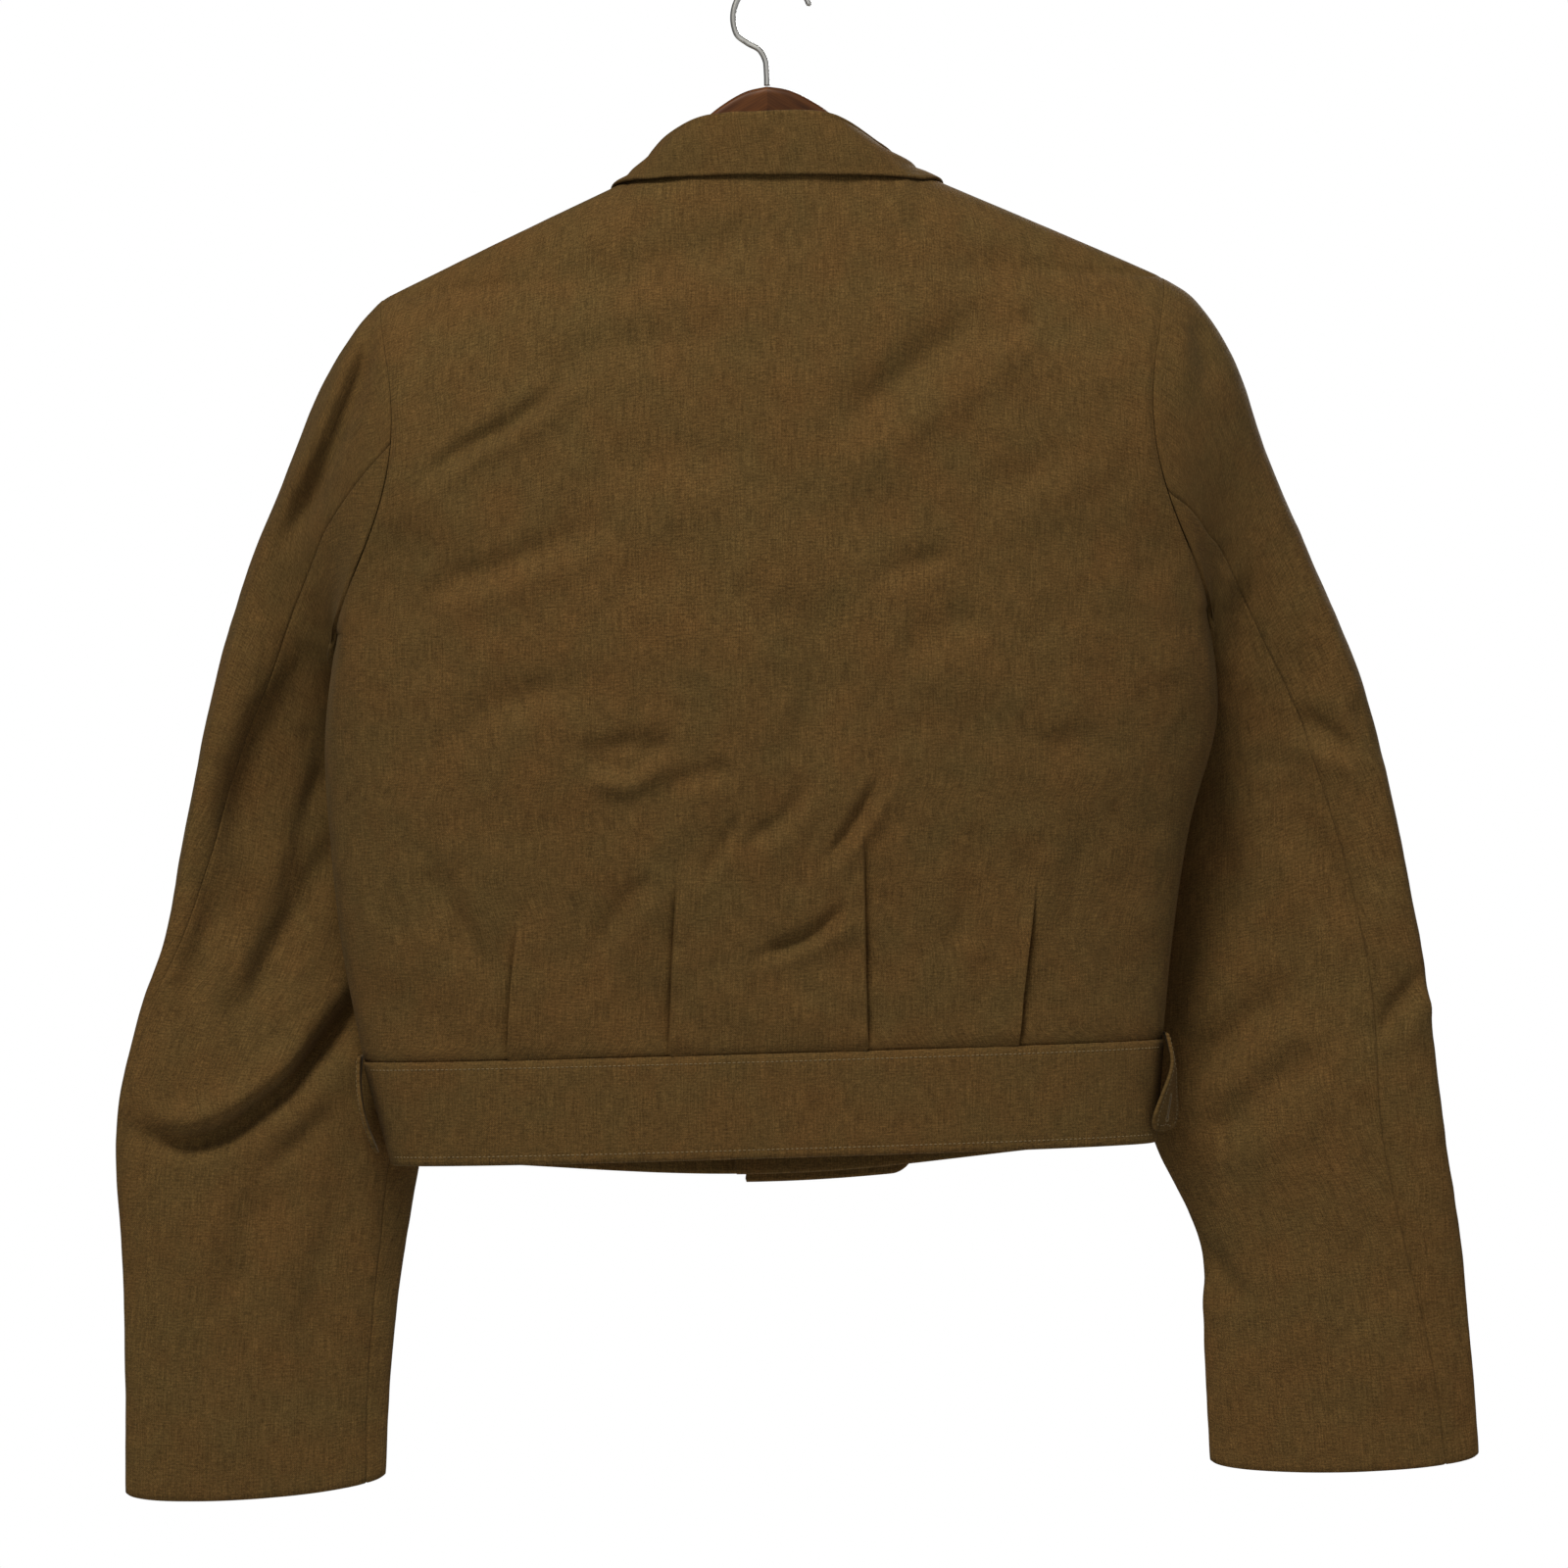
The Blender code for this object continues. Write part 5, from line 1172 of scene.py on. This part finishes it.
def layOn(name, node, side, x, z, height, sheet):
    # a grid of places put on the front and moved out by height
    points, facing = frontAt(side, x, z)
    points = points + np.array([0, cut["seamGap"] / 2, 0]) + facing * (height + cut["cloth"])
    sew(name, node, points, facing, cut["cloth"], allFree, sheet)
    return points, facing


def makeLapels():
    look, made = lapelCloth, {}
    for side, word in sideWord.items():
        top = look["shape"]["down"][0]
        down = np.linspace(top, look[word], look["rows"])[:, None]
        t = look["foldShare"] + (1 - look["foldShare"]) * graded(look["columns"], look["crowd"])
        width = reading(look["shape"], "width", down) * t
        drop = look["notch"] * width * np.clip(1 - (down - top) / look["notchOver"], 0, 1)
        made[side] = layOn(word + "Lapel", "lapel_" + word, side, side * (rollLine(-down) + width),
                           side * cut["tilt"] * look["level"] - down - drop, cut["layGap"], look["sheet"])
    return made


def makePockets():
    look, made = pocketCloth, {}
    across = graded(look["columns"], look["crowd"]) - 0.5
    down, flapDown = (graded(look[name], look["crowd"])[:, None] for name in ("rows", "flapRows"))
    corner = look["corner"] * np.sign(across) * ease((down - look["cornerDown"]) / (1 - look["cornerDown"]))
    corner = corner * ease((np.abs(across) - look["cornerFrom"]) / (0.5 - look["cornerFrom"]))
    for side, word in sideWord.items():
        middle, rise = side * look["x"], side * cut["tilt"] * look["x"]
        x = middle + across * look["width"] - corner
        z = look["top"] - down * look["height"] + rise + 0 * across
        pocket = layOn(word + "Pocket", "pocket_" + word, side, x, z, cut["layGap"], look["sheet"])
        point = look["flapPoint"] * (1 - 2 * np.abs(across)) * flapDown
        x = middle + across * look["flapWidth"] + 0 * flapDown
        z = look["flapTop"] - flapDown * look["flapHeight"] - point + rise
        flap = layOn(word + "Flap", "pocket_flap_" + word, side, x, z, 2 * cut["layGap"] + cut["cloth"],
                     look["flapSheet"])
        made[side] = (pocket, flap)
    return made


lapelGrids = makeLapels()
pocketGrids = makePockets()
print("lapels and pockets made")


# Belt tab at the front and the two side tabs
tabCloth = {
    "x": -0.016, "length": 0.100, "height": 0.046, "drop": 0.005, "slant": 0.008, "columns": 56, "rows": 26,
    "roundFrom": 0.86, "roundShare": 0.35, "roundEnd": 0.96,
    "sideLength": 0.055, "sideWidth": 0.034, "sideTop": 0.003, "sideRows": 60, "sideColumns": 24,
    "tipFrom": 0.72, "tipWidth": 0.28, "tipEnd": 0.98,
    "sides": tableOf("down outLeft backLeft turnLeft outRight backRight turnRight", [
        (0.00, 0.0002, 0.002, 0, -0.0003, 0.000, 0),
        (0.30, 0.0055, 0.001, 2, 0.0045, -0.002, 4),
        (0.65, 0.0080, 0.000, 3, 0.0034, -0.007, 18),
        (1.00, 0.0065, 0.000, 2, 0.0015, -0.010, 36)]),
    "beltSheet": {"flat": (0.104, 0.047), "held": "laid", "on": ["waistband_front_left"]},
    "sideSheet": {"flat": (0.056, 0.035), "held": "hung", "on": ["waistband_back"]},
}


def makeBeltTab():
    surface = bandSurface(before)
    t = graded(tabCloth["columns"], 0.5)
    up = graded(tabCloth["rows"], 0.4)[:, None]
    x = tabCloth["x"] + tabCloth["length"] * t + tabCloth["slant"] * (1 - t) * up
    end = np.clip((t - tabCloth["roundFrom"]) / (1 - tabCloth["roundFrom"]), 0, 1)
    rounding = tabCloth["roundShare"] * tabCloth["height"] * (1 - np.sqrt(1 - tabCloth["roundEnd"] * end ** 2))
    across = x / np.where(x < 0, halfWidth(2.0, left), halfWidth(2.0, right))
    down = 1 + (tabCloth["drop"] - rounding - (tabCloth["height"] - 2 * rounding) * up) / cut["bandHeight"]
    out = np.array([0.0, 1.0, 0.0])
    points = surface(down, across) + out * (cut["layGap"] + cut["bandCloth"])
    facing = np.broadcast_to(out, points.shape)
    sew("beltTab", "waist_tab", points, facing, cut["bandCloth"], allFree, tabCloth["beltSheet"])
    return points, facing


def makeSideTabs():
    made = {}
    down, t = graded(tabCloth["sideRows"], 0.2)[:, None], graded(tabCloth["sideColumns"], 0.5) - 0.5
    end = np.clip((down - tabCloth["tipFrom"]) / (1 - tabCloth["tipFrom"]), 0, 1)
    narrowed = tabCloth["tipWidth"] + (1 - tabCloth["tipWidth"]) * np.sqrt(1 - tabCloth["tipEnd"] * end ** 2)
    width = tabCloth["sideWidth"] * narrowed
    for side in sideWord:
        word = sideWord[side].title()
        out, back, turn = (reading(tabCloth["sides"], name + word, down) for name in ("out", "back", "turn"))
        out = out + halfWidth(2.0, side) + cut["bandOut"] - cut["band" + word] * down + cut["cloth"]
        turn = np.radians(turn)
        x = side * (out + width * t * np.sin(turn))
        y = back + width * t * np.cos(turn)
        z = cut["waistZ"] + tabCloth["sideTop"] - tabCloth["sideLength"] * down + 0 * t
        points = tilted(x, y, z)
        facing = np.stack([side * np.cos(turn) + 0 * t, -np.sin(turn) + 0 * t, 0 * turn + 0 * t], -1)
        sew("sideTab" + word, "side_tab_" + word.lower(), points, facing, cut["cloth"], allFree,
            tabCloth["sideSheet"])
        made[side] = (points, facing)
    return made


beltGrid = makeBeltTab()
sideTabGrids = makeSideTabs()
print("tabs made")


# Sewing: each stitch is a short grain of thread that dives into the cloth at both ends
stitch = {"pitch": 0.0027, "length": 0.0021, "thick": 0.00034, "rise": 0.00016, "rings": 5, "sides": 6,
          "tail": 0.25, "inset": 0.0035}
buttonhole = {"start": (0.62, 0.5), "end": (0.86, 0.5), "wide": 0.0010, "eye": 0.0016, "eyeTurn": 152,
              "eyeSteps": 24, "steps": 90,
              "edges": {"pitch": 0.0007, "length": 0.0019}, "slit": {"pitch": 0.0006, "length": 0.0014}}


def tubeQuads(rings, sides):
    # the numbers of a tube's points by rings, and the quads round it
    index = np.arange(rings * sides).reshape(rings, sides)
    around = np.roll(index, -1, axis=1)
    return index, np.stack([index[:-1], around[:-1], around[1:], index[1:]], -1).reshape(-1, 4)


def stitchRows(name, paths, material=None, pitch=stitch["pitch"], length=stitch["length"], turned=False):
    # stitches set at even lengths along paths of points and normals, or across them if turned: rings whose radius
    # and height follow a half sine
    spots, tangents, ups = [], [], []
    for points, facing in paths:
        lengths = lengthAlong(points)
        at = np.arange(pitch, lengths[-1] - pitch / 2, pitch)
        spot, up, ahead, back = (
            np.stack([np.interp(where, lengths, values[:, k]) for k in range(3)], -1)
            for values, where in ((points, at), (facing, at), (points, at + mm), (points, at - mm)))
        run, up = unitOf(ahead - back), unitOf(up)
        spots.append(spot)
        ups.append(up)
        tangents.append(unitOf(np.cross(run, up)) if turned else run)
    spots, tangents, ups = (np.concatenate(part)[:, None, None] for part in (spots, tangents, ups))
    rings, sides = stitch["rings"], stitch["sides"]
    t = np.linspace(0, 1, rings)[None, :, None, None]
    angle = np.linspace(0, 2 * math.pi, sides, endpoint=False)[None, None, :, None]
    radius = stitch["thick"] * (stitch["tail"] + (1 - stitch["tail"]) * np.sin(math.pi * t))
    lift = stitch["rise"] * 2 * (np.sin(math.pi * t) - 0.5)
    points = (spots + tangents * (t - 0.5) * length + np.cross(tangents, ups) * radius * np.cos(angle)
              + ups * (radius * np.sin(angle) + lift))
    index, quads = tubeQuads(rings, sides)
    caps = np.stack([index[0, [0, 3, 2, 1]], index[0, [0, 5, 4, 3]],
                     index[-1, [0, 1, 2, 3]], index[-1, [0, 3, 4, 5]]])
    one = np.concatenate([quads, caps])
    faces = (one[None] + (np.arange(len(spots)) * rings * sides)[:, None, None]).reshape(-1, 4)
    piece = addMesh(name, points.reshape(-1, 3), faces[:, ::-1])
    return finishPiece(piece, material or thread, "wool")


def holePath(grid, slit=False):
    # a keyhole's outline on a grid, straight sides and a round eye at the end, or only the slit in its middle; its
    # start and end are shares of the grid's rows and columns
    points = grid[0]
    rows, cols = np.array(points.shape[:2]) - 1
    size = np.array([np.linalg.norm(points[-1, cols // 2] - points[0, cols // 2]),
                     np.linalg.norm(points[rows // 2, -1] - points[rows // 2, 0])])
    leg, end = np.array(buttonhole["start"]) * size, np.array(buttonhole["end"]) * size
    run = unitOf(end - leg)
    aside = np.array([-run[1], run[0]])
    turn = np.radians(np.linspace(buttonhole["eyeTurn"], -buttonhole["eyeTurn"], buttonhole["eyeSteps"]))[:, None]
    eye = end + buttonhole["eye"] * (run * np.cos(turn) + aside * np.sin(turn))
    near, far = leg + aside * buttonhole["wide"], leg - aside * buttonhole["wide"]
    path = np.stack([leg, end]) if slit else np.concatenate([[near], eye, [far], [near]])
    at = lengthAlong(path)
    even = np.linspace(0, at[-1], buttonhole["steps"])
    share = np.stack([np.interp(even, at, path[:, k]) for k in range(2)], -1) / size
    down, over = np.clip(share[:, 0] * rows, 0, rows - 1e-6), np.clip(share[:, 1] * cols, 0, cols - 1e-6)
    i, j = down.astype(int), over.astype(int)
    s, r = (down - i)[:, None], (over - j)[:, None]
    return [(part[i, j] * (1 - r) + part[i, j + 1] * r) * (1 - s)
            + (part[i + 1, j] * (1 - r) + part[i + 1, j + 1] * r) * s for part in grid]


def bandPaths(face, side, start, end):
    across = np.linspace(start, end, band["stitchSteps"])
    return [bandCloth(face, side, np.full_like(across, down), across) for down in stitchDowns]


def insetPaths(grid, keep):
    # paths along the kept edges of a grid, a few millimetres in: top, right, bottom and left
    points, facing = grid
    rows, cols = points.shape[:2]
    distance = edgeDistance(points)
    lines = []
    for edge in range(4):
        if not keep[edge]:
            continue
        upright = edge % 2 == 1
        nearest = np.argmin(np.abs(distance[edge] - stitch["inset"]), axis=1 if upright else 0)
        index = (np.arange(rows), nearest) if upright else (nearest, np.arange(cols))
        beside = [np.where(keep[k], distance[k][index], 1.0) for k in range(4) if k % 2 != edge % 2]
        inside = np.minimum(*beside) > stitch["inset"]
        lines.append((points[index][inside], facing[index][inside]))
    return lines


stitchRows("stitchingBackBand", bandPaths(behind, left, -band["stitchEnd"], band["stitchEnd"]))
stitchRows("stitchingFrontBand", bandPaths(before, left, -band["stitchEnd"], lapOver - 0.015)
           + bandPaths(before, right, band["stitchEnd"], lapOver + 0.01))
stitchRows("stitchingFronts", [line for side in sideWord
                               for line in insetPaths(pocketGrids[side][0], (0, 1, 1, 1))
                               + insetPaths(pocketGrids[side][1], (1, 1, 1, 1))
                               + insetPaths(lapelGrids[side], (0, 1, 0, 0))])
stitchRows("stitchingTabs", insetPaths(beltGrid, (1, 1, 1, 1)) + [
    line for side in sideWord for line in insetPaths(sideTabGrids[side], (0, 1, 1, 1))])
stitchRows("buttonholeEdges", [holePath(sideTabGrids[side]) for side in sideWord], turned=True,
           **buttonhole["edges"])
stitchRows("buttonholeSlits", [holePath(sideTabGrids[side], slit=True) for side in sideWord], material=horn,
           **buttonhole["slit"])
print("stitches sewn")


# Hanger
hangerLook = {
    "thick": 0.014, "reach": 0.204, "tip": 0.006, "seat": 0.0009, "height": 0.050, "tipHeight": 0.022,
    "round": 0.0042, "rings": 280, "sides": 40, "crowd": 0.44973, "joinWide": 0.0007, "joinShare": 0.4 / 7,
    "joinFade": 0.09, "flatY": 1.6, "flatPower": 0.8, "flatZ": 3, "tipEnd": 0.002,
    "hump": tableOf("x z", [(0.0, -0.0600), (0.0125, -0.0626), (0.0250, -0.0690), (0.0350, -0.0762),
                            (0.0500, -0.0935), (0.0640, -0.1085), (0.0800, -0.1165), (0.1000, -0.1224)]),
}
hookLook = {
    "radius": 0.0224, "wire": 0.0017, "tipAngle": 17, "tailAngle": 205, "arcSteps": 19, "tipEnd": 0.02,
    "rings": 150, "sides": 16,
    "tail": [(-0.0142, -0.0352), (-0.0070, -0.0395), (-0.0040, -0.0450), (-0.0032, -0.0520), (-0.0030, -0.0596)],
}


def tubeFaces(rings, sides):
    # quads round a tube, with an n-gon at each end
    index, quads = tubeQuads(rings, sides)
    return quads.tolist() + [index[0, ::-1].tolist(), index[-1].tolist()]


def roundAngles(look):
    return np.linspace(0, 2 * math.pi, look["sides"], endpoint=False)


def makeHanger():
    # squared oval sections along the arch, smaller towards the round tips
    look, joinX = hangerLook, woodLook["joinX"]
    slope = (cut["shoulderZ"] - cut["neckZ"]) / (cut["shoulderX"] - cut["neckX"])
    crowd = look["crowd"] * math.pi
    x = (look["reach"] + look["tip"]) * np.sin(np.linspace(-1, 1, look["rings"]) * crowd) / math.sin(crowd)
    reach = np.minimum(np.abs(x), look["reach"])
    seat = cut["neckZ"] + slope * (reach - cut["neckX"]) - cut["cloth"] * math.hypot(1, slope) - look["seat"]
    fromJoint = np.abs(x - joinX * (1 - ease(reach / look["joinFade"])))
    top = np.where(reach < look["hump"]["x"][-1], reading(look["hump"], "z", fromJoint), seat)
    height = look["height"] + (look["tipHeight"] - look["height"]) * ease(reach / look["reach"])
    past = ((np.abs(x) - look["reach"]) / look["tip"]).clip(0)
    size = np.sqrt(np.clip(1 - past ** 2, look["tipEnd"], 1))[:, None]
    join = 1 - look["joinShare"] * np.exp(-((x - joinX) / look["joinWide"]) ** 2)
    cos, sin = np.cos(roundAngles(look)), np.sin(roundAngles(look))
    flat = np.clip(look["flatY"] * np.sign(cos) * np.abs(cos) ** look["flatPower"], -1, 1)
    y = (look["thick"] / 2 - look["round"]) * size * flat + look["round"] * join[:, None] * size * cos
    upright = (height / 2 - look["round"])[:, None] * np.clip(look["flatZ"] * sin, -1, 1)
    z = (top - height / 2)[:, None] + (upright + look["round"] * sin) * size
    points = tilted(np.broadcast_to(x[:, None], y.shape), y, z)
    piece = addMesh("hangerWood", points.reshape(-1, 3), tubeFaces(look["rings"], look["sides"]))
    return finishPiece(piece, wood, "wood", ["hanger_arms"])


def makeHook():
    # a round wire along an arc and its tail
    look = hookLook
    arc = np.radians(np.linspace(look["tipAngle"], look["tailAngle"], look["arcSteps"]))
    path = look["radius"] * np.stack([np.cos(arc), np.sin(arc)], -1) + (0, look["wire"] - look["radius"])
    path = np.concatenate([path, look["tail"]])
    length = lengthAlong(path)
    at = np.linspace(0, length[-1], look["rings"])
    x, z = (throughPoints(at, length, path[:, k])[:, None] for k in range(2))
    runX, runZ = np.split(unitOf(np.concatenate([np.gradient(x, axis=0), np.gradient(z, axis=0)], -1)), 2, axis=1)
    tip = np.clip(1 - (1 - at / look["wire"]).clip(0) ** 2, look["tipEnd"], 1)
    radius = look["wire"] * np.sqrt(tip)[:, None]
    aside, out = radius * np.cos(roundAngles(look)), radius * np.sin(roundAngles(look))
    points = np.stack([x - runZ * aside, out, z + runX * aside], -1)
    piece = addMesh("hookWire", points.reshape(-1, 3), tubeFaces(look["rings"], look["sides"]))
    return finishPiece(piece, steel, "hook_steel", ["hanger_hook"])


makeHanger()
makeHook()
print("hanger made")


# Button on the belt tab
buttonLook = {"radius": 0.010, "thick": 0.003, "spread": 0.0026, "hole": 0.0012, "holeDeep": 0.8,
              "dish": 0.62, "rimFrom": 0.72, "rimPower": 0.7, "middle": 0.02, "rings": 44, "sides": 72,
              "under": [(1.0, -0.6), (0.92, -1.0), (0.4, -1.0)]}


def makeButton():
    # a turned profile with a raised rim, a dished middle and four holes sunk into it
    look = buttonLook
    low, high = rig.box("waist_tab_button")
    centre = (np.array(low) + np.array(high)) / 2
    underShare, underHeight = np.array(look["under"]).T
    share = np.concatenate([np.linspace(look["middle"], 1, look["rings"]), underShare])
    onRim = np.clip((share - look["rimFrom"]) / (1 - look["rimFrom"]), 0, 1)
    rim = np.where(onRim > 0, np.sin(math.pi * onRim) ** look["rimPower"], 0)
    height = look["dish"] + (1 - look["dish"]) * rim
    height[look["rings"]:] = underHeight
    angle = roundAngles(look)
    x, z = look["radius"] * share[:, None] * np.cos(angle), look["radius"] * share[:, None] * np.sin(angle)
    y = height[:, None] * look["thick"] / 2 + 0 * angle
    holes = sum(np.exp(-(np.hypot(x - look["spread"] * math.cos(turn), z - look["spread"] * math.sin(turn))
                         / look["hole"]) ** 6) for turn in np.radians((45, 135, 225, 315)))
    y[:look["rings"]] -= look["holeDeep"] * look["thick"] * holes[:look["rings"]]
    points = np.stack([x, y, z], -1) + centre
    piece = addMesh("beltButton", points.reshape(-1, 3), tubeFaces(len(share), look["sides"]))
    return finishPiece(piece, horn, "button", ["waist_tab_button"])


makeButton()
print("button made")


# Light and floor
studio = {"floorZ": -1.2, "floorHalf": 1.8, "ambient": 0.36, "behind": 0.08, "edge": 0.35, "lean": 0.4,
          "backdrop": 1.0}
lamps = [
    {"name": "keyLight", "at": (-0.85, -2.6, 3.0), "aim": (0, 0, -0.4), "size": 1.3, "watts": 168,
     "tint": (1, 0.97, 0.88)},
    {"name": "fillLight", "at": (-0.6, -3.4, -0.2), "aim": (0, 0, -0.5), "size": 1.8, "watts": 6,
     "tint": (1, 1, 1)},
    {"name": "frontLight", "at": (0.9, 2.8, 0.7), "aim": (0, 0, -0.5), "size": 1.2, "watts": 70,
     "tint": (1, 1, 1)},
]


def addStudio():
    for lamp in lamps:
        light = bpy.data.lights.new(lamp["name"], "AREA")
        light.energy, light.size, light.color = lamp["watts"], lamp["size"], lamp["tint"]
        holder = bpy.data.objects.new(lamp["name"], light)
        holder.location = lamp["at"]
        aim = Vector(lamp["aim"]) - Vector(lamp["at"])
        holder.rotation_euler = aim.to_track_quat("-Z", "Y").to_euler()
        bpy.context.scene.collection.objects.link(holder)
    half, floorZ = studio["floorHalf"], studio["floorZ"]
    corners = np.array([(x * half, y * half, floorZ) for x, y in ((-1, -1), (1, -1), (1, 1), (-1, 1))])
    floor = addMesh("studioFloor", corners, np.array([[0, 1, 2, 3]]))
    floor.data.materials.append(plainMaterial("paleFloor", (0.50, 0.50, 0.49), (0.54, 0.54, 0.53), (9, 9, 9), 0.7))
    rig.stage(floor)
    world = bpy.data.worlds.new("paleStudio")
    world.use_nodes = True
    bpy.context.scene.world = world
    make = nodeMaker(world.node_tree)
    shade = world.node_tree.nodes["Background"]
    shade.inputs["Color"].default_value = (1, 1, 1, 1)
    # light comes from the side that the camera is on, more from its right, and little from behind the jacket
    path = make("ShaderNodeLightPath")
    toward = make("ShaderNodeSeparateXYZ", {0: make("ShaderNodeTexCoord").outputs["Generated"]})
    dome = make("ShaderNodeMapRange", {0: toward.outputs["Y"]}, values={
        1: -studio["edge"], 2: studio["edge"], 3: studio["ambient"], 4: studio["behind"]})
    lean = make("ShaderNodeMath", {0: toward.outputs["X"]}, operation="MULTIPLY_ADD",
                values={1: studio["lean"], 2: 1.0})
    dome = make("ShaderNodeMath", {0: dome.outputs[0], 1: lean.outputs[0]}, operation="MULTIPLY")
    strength = make("ShaderNodeMix", {0: path.outputs["Is Camera Ray"], 2: dome.outputs[0]},
                    values={3: studio["backdrop"]})
    world.node_tree.links.new(strength.outputs[0], shade.inputs["Strength"])
    bpy.context.scene.view_settings.view_transform = "Standard"
    bpy.context.scene.view_settings.look = "None"


addStudio()
print("studio lit")

with open("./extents.json", "w") as sizes:
    json.dump({"cad": [list(corner) for corner in cadBox], "visual": [list(corner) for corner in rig.bounds()]}, sizes)
